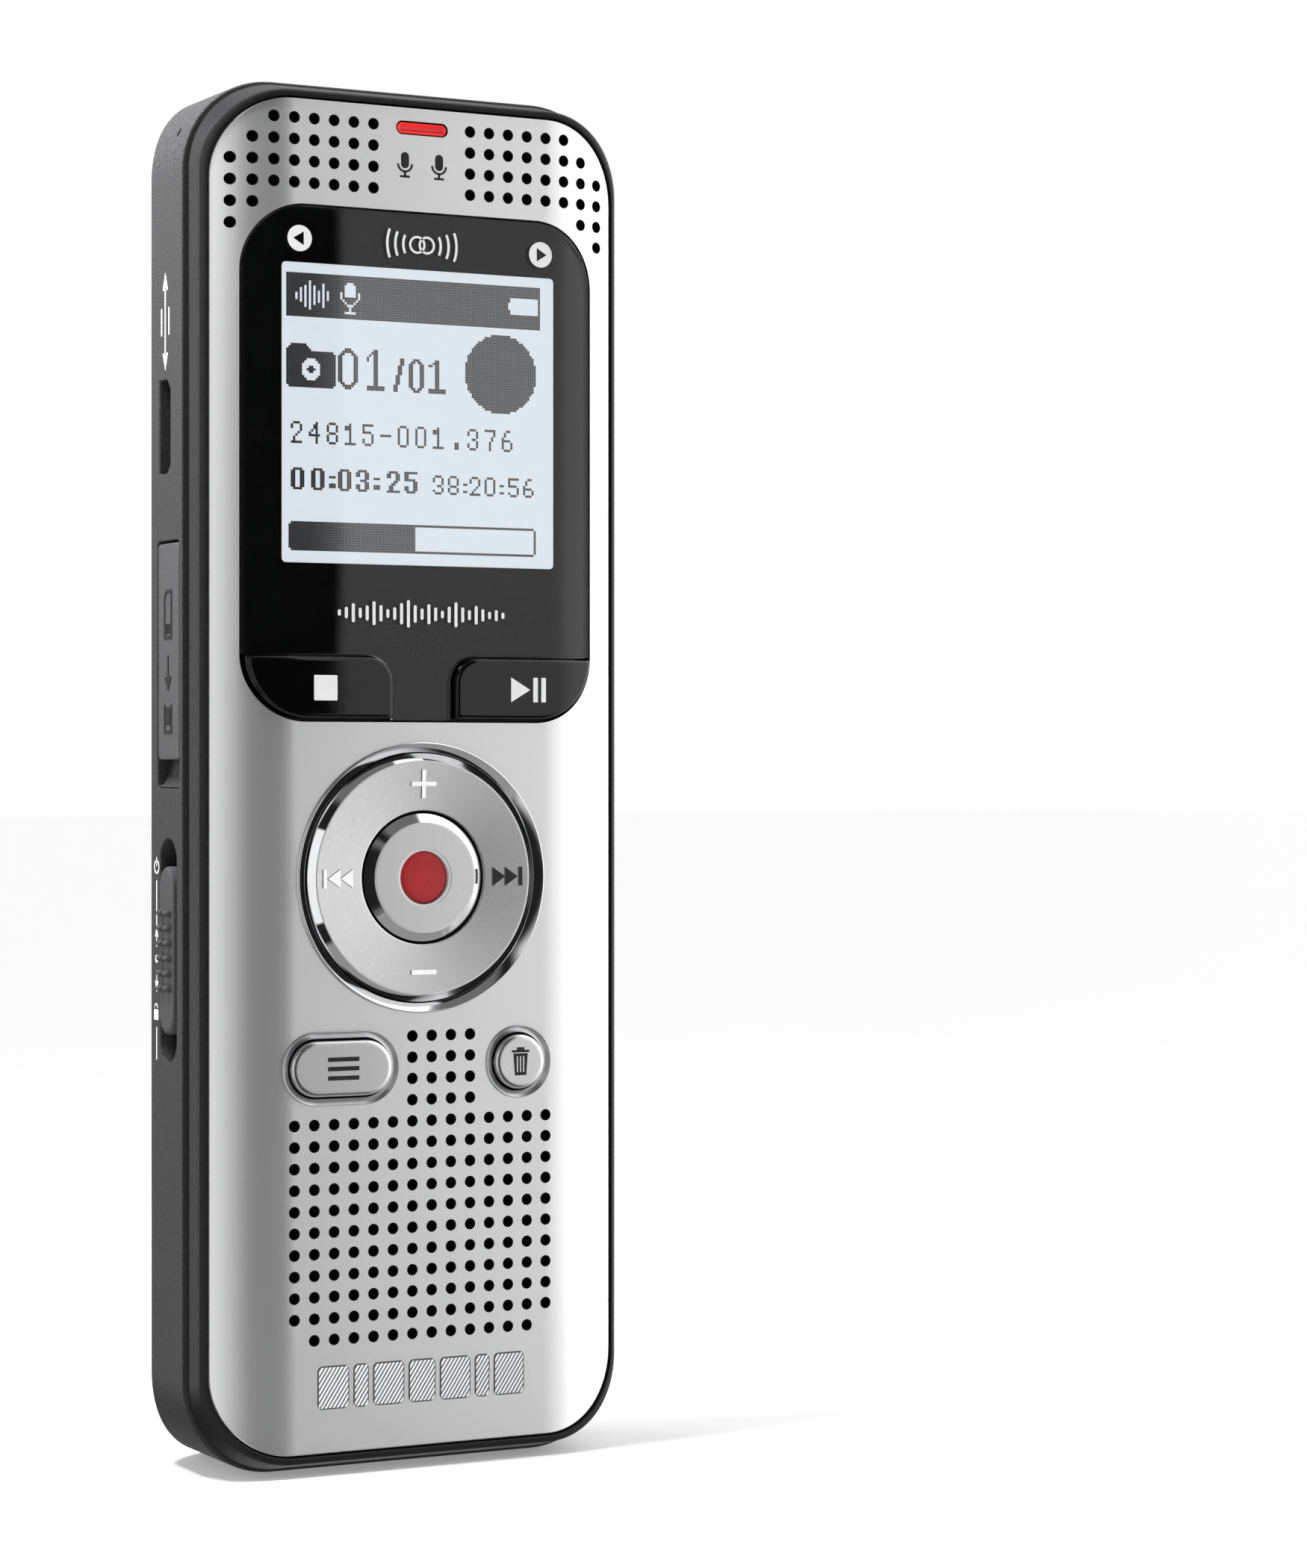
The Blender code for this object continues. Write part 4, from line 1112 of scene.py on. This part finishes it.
def build_navigation():
    def turned(name, profile, steps, look, replaces=(), body="record_key", sharp=25):
        many(name, [lathe(profile, about_front(NAV_X, NAV_Z), steps)], look, replaces, body, sharp)

    bezel = filleted([(10.74, 0.27), (10.83, 0.21), (10.83, 0.02), (10.5, 0.02), (10.5, -0.9), (10.06, -0.9),
                      (10.06, -0.26), (10.10, -0.23)], [0.03, 0.03, 0, 0, 0, 0, 0.02, 0.02])
    turned("nav_bezel_ring", bezel, 160, CHROME, ["nav_bezel"], "housing", 35)
    rise = (NAV_OUTER_H - NAV_INNER_H) / (NAV_OUTER_R - NAV_INNER_R)
    ring = filleted([(NAV_INNER_R, NAV_INNER_H), (5.5, NAV_INNER_H + 0.15 * rise), (7.4, NAV_INNER_H + 2.05 * rise),
                     (9.2, NAV_OUTER_H - 0.16 * rise), (NAV_OUTER_R, NAV_OUTER_H), (9.93, -0.2), (9.93, -0.4),
                     (9.93, -2.1), (NAV_INNER_R, -2.1)], [0.05, 0, 0, 0, 0.035, 0.04, 0, 0, 0])
    turned("nav_rocker_ring", ring, 160, SATIN, ["nav_ring"], "nav_rocker", 30)
    chamfer = [(9.345, 0.361), (9.375, 0.361), (9.945, -0.19), (9.945, -0.24), (9.90, -0.24), (9.34, 0.33)]
    turned("nav_rocker_edge", chamfer, 160, CHROME, body="nav_rocker")
    cap = filleted([(0, -0.1), (2.2, -0.1), (2.2, 0.61), (2.4, 0.61), (3.3, 0.61), (4.25, 0.61), (4.4, 0.61),
                    (5.1, 0.1), (5.1, -0.1), (5.1, -2.35), (0, -2.35)],
                   [0, 0.02, 0.04, 0, 0, 0, 0.03, 0.04, 0, 0, 0])
    turned("record_cap", cap, 128, SATIN, ["record_button"], sharp=30)
    edge = [(4.385, 0.619), (4.415, 0.619), (5.115, 0.11), (5.115, 0.05), (5.07, 0.05), (4.37, 0.59)]
    turned("record_cap_edge", edge, 128, CHROME)
    # The pale grey wall of the well is a painted reflection in place of chrome.
    well = [(2.12, -0.05), (2.15, 0.55), (2.19, 0.615), (2.26, 0.619), (2.29, 0.59), (2.24, -0.05)]
    turned("record_well_edge", well, 96, WELL_PAINTED_SHEEN)
    dot = filleted([(0, 0.30), (1.7, 0.28), (2.02, 0.24), (2.10, 0.16), (2.10, -0.05), (0, -0.05)],
                   [0, 0.1, 0.1, 0.03, 0, 0], closed=False)
    turned("record_disc", dot, 96, RED, ["record_dot"], sharp=35)


def on_ring(x, z, lift):
    """A point above the slightly dished face of the navigation ring."""
    share = (math.dist((x, z), (NAV_X, NAV_Z)) - NAV_INNER_R) / (NAV_OUTER_R - NAV_INNER_R)
    return world(x, -(NAV_INNER_H + (NAV_OUTER_H - NAV_INNER_H) * share) - lift, z)


def build_nav_marks():
    """Raised signs on the ring, each with its side wall painted dark as painted shade."""
    plus = [(-1.1, -0.17), (-0.17, -0.17), (-0.17, -1.15), (0.17, -1.15), (0.17, -0.17), (1.1, -0.17),
            (1.1, 0.17), (0.17, 0.17), (0.17, 1.15), (-0.17, 1.15), (-0.17, 0.17), (-1.1, 0.17)]
    loops = {-1: [[(x, NAV_Z + 7.5 + z) for x, z in plus], rounded(0, NAV_Z - 7.57, 2.2, 0.38, 0.03, 1)], 1: []}
    for side, _ in SIDES:
        mid = side * 7.45
        first = [(mid - side * 1.3, NAV_Z - 0.75), (mid - side * 1.3, NAV_Z + 0.75), (mid - side * 0.22, NAV_Z)]
        second = [(x + side * 1.1, z) for x, z in first]
        loops[side] += [first, second, rounded(mid + side * 1.15, NAV_Z, 0.3, 1.5, 0.02, 1)]
    for name, side, look in (("nav_marks_bright", -1, MARK_BRIGHT), ("nav_marks_dark", 1, MARK_DARK)):
        verts, faces, walls = [], [], []
        for loop in loops[side]:
            part = panel_parts([(loop, [(0.0, 0.10), (0.0, -0.05)], 1)], on_ring)
            faces += [tuple(len(verts) + i for i in f) for f in part[1]]
            verts += part[0]
            walls += part[2]
        add_piece(name, mesh_of(name, verts, faces, walls), [look, MARK_WALL_SHADE], body="nav_rocker")


def build_row_buttons():
    bezel = [(0.0, 0.02), (0.0, 0.16), (0.01, 0.19), (0.035, 0.205), (0.06, 0.20), (0.09, 0.18), (0.30, 0.04),
             (0.51, -0.10), (0.54, -0.125), (0.55, -0.17), (0.55, -0.9), (0.22, -0.9), (0.22, 0.02)]
    cap = [(0.0, -2.3), (0.0, 0.16), (0.02, 0.27), (0.07, 0.36), (0.15, 0.42), (0.28, 0.445), (0.45, 0.45)]
    for key, x, long in (("menu", MENU_X - 0.08, 10.0), ("delete", DELETE_X, 5.72)):
        many(f"{key}_bezel_ring", [pill_stack(x, ROW_Z, long, 5.85, bezel, closed=True)], BEZEL, [f"{key}_bezel"])
        many(f"{key}_cap", [pill_stack(x, ROW_Z, long - 1.3, 4.42, cap)], SATIN, [f"{key}_button"], f"{key}_key")
    bars = [[rounded(MENU_X, ROW_Z + dz, 2.7, 0.35, 0.03, 1)] for dz in (-0.74, 0, 0.74)]
    x, z = DELETE_X, ROW_Z
    bin_loop = [(x - 0.64, z + 0.68), (x - 0.52, z - 1.1), (x + 0.52, z - 1.1), (x + 0.64, z + 0.68)]
    slots = [rounded(x + dx, z - 0.2, 0.12, 1.3, 0.03, 1) for dx in (-0.28, 0.0, 0.28)]
    lid = rounded(x, z + 0.85, 1.56, 0.2, 0.03, 1)
    handle = [(x - 0.34, z + 0.951), (x + 0.34, z + 0.951), (x + 0.34, z + 1.17), (x - 0.34, z + 1.17)]
    for key, groups in (("menu", bars), ("delete", [[bin_loop] + slots, [lid], [handle]])):
        decal(f"{key}_icon", groups, flat_front, 0.45 + 0.012, INK_DARK, f"{key}_key")


def build_light():
    profile = [(0.0, -3.0), (0.0, -0.10), (0.03, -0.04), (0.09, 0.0), (0.16, -0.03), (0.24, -0.16), (0.34, -0.24)]
    many("light_bar", [pill_stack(0, LIGHT_Z, 4.34, 0.91, profile)], RED_LIGHT, ["record_light"])


# ---------------------------------------------------------------- rear shell

def usb_loop(grow):
    top, low = 86.735 + grow, 79.345 - grow
    front, back = 6.06 - grow, 8.45 + grow
    loop = [(back, low), (back, top), (front + 0.75, top), (front, top - 0.8), (front, low + 0.8),
            (front + 0.75, low)]
    return filleted(loop, 0.12, 3)


def card_loop(grow):
    return rounded(6.475, 64.16, 4.75 + 2 * grow, 19.58 + 2 * grow, 0.45 + grow, 5)


def hold_loop(grow):
    return pill(HOLD_W, HOLD_Z, 3.55 + 2 * grow, 17.67 + 2 * grow, 16)


def about_jack(side, base=0.0):
    """Puts a lathe's points round the axis of one jack, from a base height."""
    return lambda u, v, h: world(side * JACK_X + u, JACK_W + v, base + h)


def loose(name, shape):
    """An object that is cut or cuts, and is gone again before the scene is finished."""
    return linked(name, mesh_of(name, *shape))


def carved(blank, tools):
    """The mesh of the blank with every tool cut out of it."""
    for tool in tools:
        modifier = blank.modifiers.new(tool.name, "BOOLEAN")
        modifier.operation = "DIFFERENCE"
        modifier.solver = "EXACT"
        modifier.object = tool
    bpy.context.view_layer.update()
    graph = bpy.context.evaluated_depsgraph_get()
    final = bpy.data.meshes.new_from_object(blank.evaluated_get(graph), depsgraph=graph)
    for obj in [blank] + tools:
        bpy.data.objects.remove(obj, do_unlink=True)
    final.materials.clear()
    return final


def shell_tools():
    """Solids for the openings: three on the left, two jacks, the strap hole and the top end's signs."""
    deep = ((1.5, 0.1), (0.0, 0.1), (-0.1, 0.0), (-2.4, 0.0))  # lift and growth: each mouth is bevelled
    shapes = [stack([[on_left(w, z, lift) for w, z in loop_at(grow)] for lift, grow in deep])
              for loop_at in (usb_loop, card_loop, hold_loop)]
    profile = [(0, 1.5), (3.15, 1.5), (3.15, 0.0), (3.05, -0.1), (3.05, -2.4), (0, -2.4)]
    shapes += [lathe(profile, about_jack(side, TOP_Z), 64) for side, _ in SIDES]
    ends = world(-20.5, 6.2, 107.3), world(-14.5, 6.2, 104.7)
    across = Vector((0, 1, 0))
    third = (ends[1] - ends[0]).normalized().cross(across)
    turns = [2 * math.pi * i / 20 for i in range(20)]
    shapes.append(stack([[p + (across * math.cos(t) * 0.22 + third * math.sin(t) * 0.42) * MM for t in turns]
                         for p in ends]))
    shapes += [stack([[on_top(u, v, lift) for u, v in group[0]] for lift in (0.5, -0.2)])
               for group in top_sign_groups()]
    return [loose("cut", shape) for shape in shapes]


def build_shell():
    def clean(bm):
        drop_loose(bm)
        bmesh.ops.remove_doubles(bm, verts=bm.verts, dist=1e-7)

    outline = spaced(rounded(0, MID_Z, 2 * WALL_X, TOP_Z, SHELL_R, 24), 1.2)
    edge = [(0.42, 0.0), (0.27, -0.035), (0.13, -0.12), (0.04, -0.26), (0.0, -0.45),
            (0.0, None, SHELL_FRONT_W + 0.15), (0.03, None, SHELL_FRONT_W + 0.06), (0.12, None, SHELL_FRONT_W),
            (SHELL_WALL, None, SHELL_FRONT_W), (SHELL_WALL, -SHELL_WALL)]
    bay = spaced(bounded(-12.6, 12.6, 5.4, 56.25, 1.2, 6), 1.2)
    lip = [(0.1, 0.0), (0.03, -0.03), (0.0, -0.1), (0.0, -SHELL_WALL)]
    edges = [(outline, edge, 0), (bay, lip, 0)]
    edges += [(circle(side * SCREW_X, SCREW_Z, 1.75, 32), lip, 0) for side, _ in SIDES]
    verts, faces, _ = panel_parts(edges, on_back, grid((-18, 18.5), (2, TOP_Z - 1), 1.1, 2.2), 1.1)
    blank = linked("blank", reworked(mesh_of("shell", verts, faces), clean))
    add_piece("shell", carved(blank, shell_tools()), SHELL, ["rear_shell"], sharp=32)


def build_screws():
    """The screws' tubes, and their heads with a cross sunk into each."""
    top = back_w(SCREW_X) - SHELL_WALL + 0.4
    tube = [(1.75, -top), (2.3, -top), (2.3, -4.2), (1.05, -4.2), (1.05, -11.8), (1.75, -11.8)]
    many("screw_tubes", [lathe(tube, about_front(side * SCREW_X, SCREW_Z), 40) for side, _ in SIDES], SHELL)
    a, b = 0.85, 0.17
    cross = [(a, -b), (a, b), (b, b), (b, a), (-b, a), (-b, b), (-a, b), (-a, -b), (-b, -b), (-b, -a), (b, -a),
             (b, -b)]
    profile = [(0, -12.32), (1.1, -12.32), (1.36, -12.24), (1.5, -12.08), (1.5, -11.85), (0.8, -11.85), (0.8, -2.7),
               (0, -2.7)]
    for side, word in SIDES:
        x, z = side * SCREW_X, SCREW_Z
        head = loose("head", lathe(profile, about_front(x, z), 40))
        tool = loose("cross", stack([[world(x + u, w, z + v) for u, v in cross] for w in (12.0, 12.8)]))
        add_piece(f"screw_head_{word}", carved(head, [tool]), STEEL, [f"screw_top_{word}"])


def build_battery_door():
    outline = spaced(bounded(-12.45, 12.45, 5.55, 55.95, 1.1, 8), 1.2)
    grip_z, deep = 51.5, -1.1
    grip = spaced(pill(0, grip_z, 11, 1.6, 12), 0.6)
    arrows = []
    for z in (48.6, 47.6, 46.6):
        arrows.append([(-1.1, z), (0.0, z - 0.76), (1.1, z), (1.1, z + 0.34), (0.0, z - 0.42), (-1.1, z + 0.34)])
    edges = [(outline, [(0.14, 0.0), (0.05, -0.035), (0.0, -0.12), (0.0, deep)], 0),
             (grip, [(0.1, 0.0), (0.03, -0.03), (0.0, -0.1), (0.0, -0.6), (0.0, deep)], 0)]
    edges += [(arrow, [(-0.03, 0.0), (0.0, -0.03), (0.0, deep)], 0) for arrow in arrows]
    parts = [panel_parts(edges, on_back, grid((-12, 12.2), (6, 55.5), 1.1, 2.2), 1.1)[:2]]
    parts += [sheet(moved_loop(arrow, -0.05), [(0.0, -0.2), (0.0, -1.09)], on_back) for arrow in arrows]
    parts.append(sheet(moved_loop(grip, -0.05), [(0.0, -0.55), (0.0, -1.09)], on_back,
                       grid((-5, 5.2), (51, 52), 1.0, 0.5), 0.5))
    for i in range(7):
        x = (i - 3) * 1.35
        parts.append(stack([[on_back(u, v, lift) for u, v in rounded(x, grip_z, 2 * half, 1.36, 0.08, 2)]
                            for lift, half in ((-0.58, 0.22), (-0.25, 0.20), (-0.12, 0.12))]))
    many("battery_cover_panel", parts, SHELL, ["battery_door"], "battery_cover", 32)


# ---------------------------------------------------------------- left side and top

def build_card_door():
    low, high = box_mm("card_door")
    outline = spaced(bounded(low[1] - FACE_Y, high[1] - FACE_Y, low[2], high[2], 0.4, 6), 1.0)
    edge = [(0.16, 0.0), (0.06, -0.03), (0.0, -0.14), (0.0, -1.0)]
    many("card_cover_panel", [sheet(outline, edge, on_left)], DOOR_GRAIN, ["card_door"], "card_cover", 32)
    card = [(5.65, 66.2), (7.35, 66.2), (7.35, 69.6), (6.85, 70.1), (5.65, 70.1)]
    arrow = [(6.38, 64.9), (6.38, 63.2), (5.75, 63.2), (6.5, 62.1), (7.25, 63.2), (6.62, 63.2), (6.62, 64.9)]
    slot = [(5.65, 58.7), (7.35, 58.7), (7.35, 61.0), (7.1, 61.0), (7.1, 58.95), (5.9, 58.95), (5.9, 61.0),
            (5.65, 61.0)]
    groups = [[card, moved_loop(card, 0.24)]]
    groups += [[rounded(6.0 + 0.32 * i, 67.0, 0.16, 0.8, 0.03, 1)] for i in range(4)]
    groups += [[arrow], [slot], [rounded(6.5, 60.1, 0.9, 1.4, 0.1, 2)]]
    decal("card_cover_signs", groups, on_left, 0.05, INK_DARK, "card_cover", 0.1)
    notch = [(0.1, 54.45), (0.55, 54.75), (0.85, 55.3), (1.05, 56.1), (1.1, 56.9), (1.35, 56.9), (1.35, 54.45)]
    many("card_notch", [stack([[world(-WALL_X + x, w, z) for x, z in notch] for w in (4.15, 8.8)])], SHELL)


def build_slider():
    outline = spaced(pill(HOLD_W, HOLD_Z, 3.1, 13.34, 16), 0.8)
    parts = [sheet(outline, [(0.34, 0.2), (0.18, 0.17), (0.06, 0.08), (0.0, -0.06), (0.0, -1.9)], on_left)]
    dome = ((0.1, 1.06, 0.62), (0.38, 1.02, 0.56), (0.56, 0.86, 0.42), (0.65, 0.6, 0.24), (0.68, 0.3, 0.1))
    for row in range(6):
        z = HOLD_Z + (row - 2.5) * 1.194
        for w in (5.83, 7.17):
            parts.append(stack([[on_left(u, v, lift) for u, v in rounded(w, z, wide, tall, tall * 0.45, 4)]
                                for lift, wide, tall in dome]))
    parts.append(block((-WALL_X + 1.5, -WALL_X + 2.2), (4.5, 8.5), (HOLD_Z - 10.9, HOLD_Z + 10.9)))
    many("hold_knob", parts, RUBBER_KNOB, ["hold_slider"], "hold_switch", 40)


def build_side_prints():
    def line(w, z, wide, tall):
        return rounded(w, z, wide, tall, min(wide, tall) * 0.3, 2)

    mid, w = 7.1, 9.0
    loops = [line(mid, 91.4, 0.2, 5.4), [(mid - 0.55, 93.9), (mid + 0.55, 93.9), (mid, 95.3)],
             [(mid - 0.55, 88.9), (mid + 0.55, 88.9), (mid, 87.5)], line(mid - 0.8, 91.4, 0.22, 2.2),
             line(mid + 0.8, 91.4, 0.22, 2.2), arc_band(w, 48.1, 0.58, 0.42, 115, 425, 24),
             line(w, 48.5, 0.16, 0.75), line(w, 45.2, 0.2, 3.6)]
    for side, _ in SIDES:
        z = 40.75 + side * 2.35
        loops.append([(w - 0.38, z - side * 0.6), (w + 0.38, z - side * 0.6), (w, z + side * 0.35)])
        loops.append(line(w, z - side * 0.95, 0.16, 0.9))
    loops += [circle(w, 40.75, 0.33, 20), rounded(w + 0.1, 36.3, 0.95, 0.85, 0.1, 3),
              arc_band(w + 0.1, 36.85, 0.38, 0.24, 0, 180, 12), line(w, 34.0, 0.2, 2.6)]
    decal("side_prints", [[loop] for loop in loops], on_left, 0.010, INK_WALL)


def top_sign_groups():
    """The headphone sign and the microphone sign beside the jacks."""
    x, w = JACK_X, 12.6
    loops = [arc_band(x, w, 1.0, 0.78, 0, 180, 16), rounded(x - 0.95, w - 0.2, 0.42, 0.85, 0.12, 3),
             rounded(x + 0.95, w - 0.2, 0.42, 0.85, 0.12, 3), pill(-x, w + 0.25, 0.62, 1.15, 8),
             arc_band(-x, w + 0.1, 0.62, 0.45, 180, 360, 14), rounded(-x, w - 0.72, 0.16, 0.4, 0.03, 1),
             rounded(-x, w - 0.95, 0.8, 0.16, 0.03, 1)]
    return [[loop] for loop in loops]


def build_top():
    collar = filleted([(1.72, 110.38), (2.93, 110.38), (2.93, 108.9), (1.72, 108.9)], [0.22, 0.18, 0, 0])
    contact = [(1.5, 106.5), (1.78, 106.5), (1.78, 107.6), (1.5, 107.6)]
    for name, profile, steps, look in (("jack_collars", collar, 64, CHIP), ("jack_contacts", contact, 48, STEEL)):
        many(name, [lathe(profile, about_jack(side), steps) for side, _ in SIDES], look)
    decal("top_prints", top_sign_groups(), on_top, -0.05, INK_WHITE, thick=0.2)


# ---------------------------------------------------------------- prints on the front

def microphone_sign(x, z, size):
    """Loops of a small microphone, size mm tall."""
    s = size / 1.6
    return [[pill(x, z + 0.28 * s, 0.56 * s, 1.04 * s, 8)],
            [arc_band(x, z + 0.05 * s, 0.56 * s, 0.42 * s, 180, 360, 16)],
            [rounded(x, z - 0.6 * s, 0.15 * s, 0.32 * s, 0.02, 1)],
            [rounded(x, z - 0.76 * s, 0.7 * s, 0.14 * s, 0.02, 1)]]


def build_front_prints():
    signs = microphone_sign(-1.5, 104.2, 2.0) + microphone_sign(1.5, 104.2, 2.0)
    decal("microphone_signs", signs, on_front, 0.012, INK_DARK)
    z = 97.85
    groups = [[circle(x, z, r, 32) for r in (0.72, 0.54)] for x in (-0.42, 0.42)]
    for mid in (180, 0):
        groups += [[arc_band(0, z, r, r - 0.2, mid - half, mid + half, 12)]
                   for r, half in ((1.75, 26), (2.45, 24), (3.15, 22))]
    z = 97.74
    for side, _ in SIDES:
        x = side * 10.6
        arrow = [(x + side * 0.55, z), (x - side * 0.35, z + 0.55), (x - side * 0.35, z - 0.55)]
        groups.append([circle(x, z, 1.035, 48), arrow])
    heights = (0.5, 0.9, 1.5, 0.8, 1.2, 1.9, 1.3, 0.7, 1.0, 1.7, 2.2, 1.4, 0.9, 1.6, 1.1, 0.6, 1.3, 2.0, 1.2,
               0.8, 1.5, 1.0, 0.6, 0.9, 0.5)
    for i, tall in enumerate(heights):
        groups.append([pill((i - (len(heights) - 1) / 2) * 0.6, 68.3, 0.26, tall, 6)])
    decal("window_signs", groups, on_front, 0.010, INK_WHITE)


def clipped(loop, low, high):
    """The part of a loop between two x values."""
    for limit, keep_above in ((low, True), (high, False)):
        result = []
        for i, a in enumerate(loop):
            b = loop[(i + 1) % len(loop)]
            a_in = (a[0] >= limit) == keep_above or a[0] == limit
            b_in = (b[0] >= limit) == keep_above or b[0] == limit
            if a_in:
                result.append(a)
            if a_in != b_in:
                t = (limit - a[0]) / (b[0] - a[0])
                result.append((limit, a[1] + (b[1] - a[1]) * t))
        loop = result
        if len(loop) < 3:
            return []
    return loop


def build_relief_bar():
    """Seven pressed tiles low on the plate, each ribbed with fine slanting ridges."""
    bases, ridges = [], []
    mid_z, tall, margin = 6.95, 3.45, 0.12
    low_z, top_z = mid_z - tall / 2 + margin, mid_z + tall / 2 - margin
    spans = ((-9.1, -6.35), (-6.0, -4.65), (-4.3, -1.55), (-1.2, 1.2), (1.55, 4.3), (4.65, 6.0), (6.35, 9.1))
    pitch, slant = 0.34, tall * 0.62
    for low, high in spans:
        outline = rounded((low + high) / 2, mid_z, high - low, tall, 0.45, 5)
        bases.append(sheet(outline, [(0.10, 0.05), (0.04, 0.045), (0.0, 0.0), (0.0, -0.1)], on_front))
        x = low - slant
        while x < high:
            quad = [(x, low_z), (x + pitch * 0.6, low_z), (x + pitch * 0.6 + slant, top_z), (x + slant, top_z)]
            quad = clipped(quad, low + margin, high - margin)
            quad = tidy(quad) if quad else quad
            if len(quad) > 2 and abs(polygon_area(quad)) > 0.05:
                ridges.append(sheet(quad, [(0.055, 0.15), (0.0, 0.09), (0.0, 0.0)], on_front))
            x += pitch
    many("relief_tiles", bases, TILE)
    many("relief_ridges", ridges, RIDGE, sharp=20)


# ---------------------------------------------------------------- stage

# Soft panels of the studio: level, its sides and its height in degrees, and how soft its edges are
# sideways and in height. Sideways, 0 is straight in front and 90 is to the right.
BASE_LEVEL = 0.015
PANELS = (
    (0.87, (23.6, 146), (-15, 48), (0.25, 22)),
    (0.56, (40, 140), (-42, 60), (14, 14)),
    (0.2, (62, 118), (-42, 60), (16, 16)),
    (0.39, (-38, -12), (-42, 38), (12, 12)),
    (0.41, (-38, -24), (-42, 38), (10, 12)),
    (1.0, (-78, -58), (-30, 30), (1.5, 1.5)),
    (0.2, (-112, -78), (-42, 46), (3, 3)),
    (0.5, (150, 180), (-42, 50), (5, 5)),
    (0.3, (-180, -150), (-8, 50), (20, 20)),
    (2.2, (-146, -112), (-14, 50), (12, 20)),
    (0.15, (-112, 45), (50, 90), (8, 8)),
    (1.2, (45, 150), (48, 90), (8, 8)),
    (0.7, (150, 180), (50, 90), (8, 8)),
    (0.7, (-180, -112), (50, 90), (8, 8)),
    (0.3, (-180, 180), (-90, -44), (4, 4)),
)
FLOOR_GLOW = 0.26


def build_stage():
    mesh = reworked(bpy.data.meshes.new("floor"),
                    lambda bm: bmesh.ops.create_grid(bm, x_segments=8, y_segments=8, size=4.0))
    floor = linked("floor", mesh)
    floor.visible_glossy = False
    s = Shader(None, "floor_look", (0.90, 0.90, 0.90), 0.7, specular=0.1)
    s.tone(s.noise(30.0), 0.995, 1.005)
    s.set({"Emission Color": (1.0, 1.0, 1.0, 1.0), "Emission Strength": FLOOR_GLOW})
    mesh.materials.append(s.material)


def build_studio():
    """Soft panels round the object, given by their direction, and a white backdrop for the camera."""
    studio = bpy.data.worlds.new("studio")
    bpy.context.scene.world = studio
    studio.use_nodes = True
    n = Nodes(studio.node_tree)

    def step(value, angle, soft):
        """Rises from 0 to 1 as a direction passes an angle."""
        return n.map_range(value, math.radians(angle - soft / 2), math.radians(angle + soft / 2),
                           interpolation_type="SMOOTHSTEP")

    x, y, z = n.add("SeparateXYZ", {0: n.add("TexCoord").outputs["Generated"]}).outputs
    turn = n.math("ARCTAN2", x, n.math("MULTIPLY", y, -1.0))
    height = n.math("ARCSINE", z)
    level = BASE_LEVEL
    for power, sides, heights, (soft_side, soft_height) in PANELS:
        inside = power
        for value, (start, end), soft, limit in ((turn, sides, soft_side, 180), (height, heights, soft_height, 90)):
            if start > -limit:
                inside = n.math("MULTIPLY", inside, step(value, start, soft))
            if end < limit:
                inside = n.math("MULTIPLY", inside, n.math("SUBTRACT", 1.0, step(value, end, soft)))
        level = n.math("ADD", level, inside)
    white = (1.0, 1.0, 1.0, 1.0)
    lit = n.add("Background", {"Strength": level, "Color": white}).outputs[0]
    seen = n.add("Background", {"Color": white}).outputs[0]
    camera_ray = n.add("LightPath").outputs["Is Camera Ray"]
    n.add("OutputWorld", {"Surface": n.add("MixShader", {0: camera_ray, 1: lit, 2: seen}).outputs[0]})


def build_lamp():
    data = bpy.data.lights.new("upper_left", "AREA")
    data.shape = "RECTANGLE"
    data.size, data.size_y = 0.05, 0.04
    data.energy = 0.46
    lamp = linked("upper_left", data)
    lamp.location = (-0.057, 0.002, 0.161)
    aim = Vector((-0.019, 0.002, 0.105)) - Vector((-0.057, 0.002, 0.161))
    lamp.rotation_euler = aim.to_track_quat("-Z", "Y").to_euler()
    lamp.visible_glossy = False


def build_camera():
    data = bpy.data.cameras.new("camera")
    data.sensor_width = 36.0
    data.lens = 89.03
    data.shift_y = -0.0096
    data.clip_start, data.clip_end = 0.01, 20.0
    camera = linked("camera", data)
    camera.location = (-130.56 * MM, (FACE_Y - 282.45) * MM, 55.90 * MM)
    camera.rotation_euler = (math.radians(90), 0, math.radians(-28.223))
    bpy.context.scene.camera = camera


bpy.context.scene.view_settings.view_transform = "Standard"
bpy.context.scene.view_settings.look = "None"

dress_cad_nodes()
build_plate()
build_rim()
build_case_panel()
build_grille_cloth()
build_window()
build_display()
build_corner_keys()
build_navigation()
build_nav_marks()
build_row_buttons()
build_light()
build_shell()
build_screws()
build_battery_door()
build_card_door()
build_slider()
build_side_prints()
build_top()
build_front_prints()
build_relief_bar()
build_stage()
build_studio()
build_lamp()
build_camera()
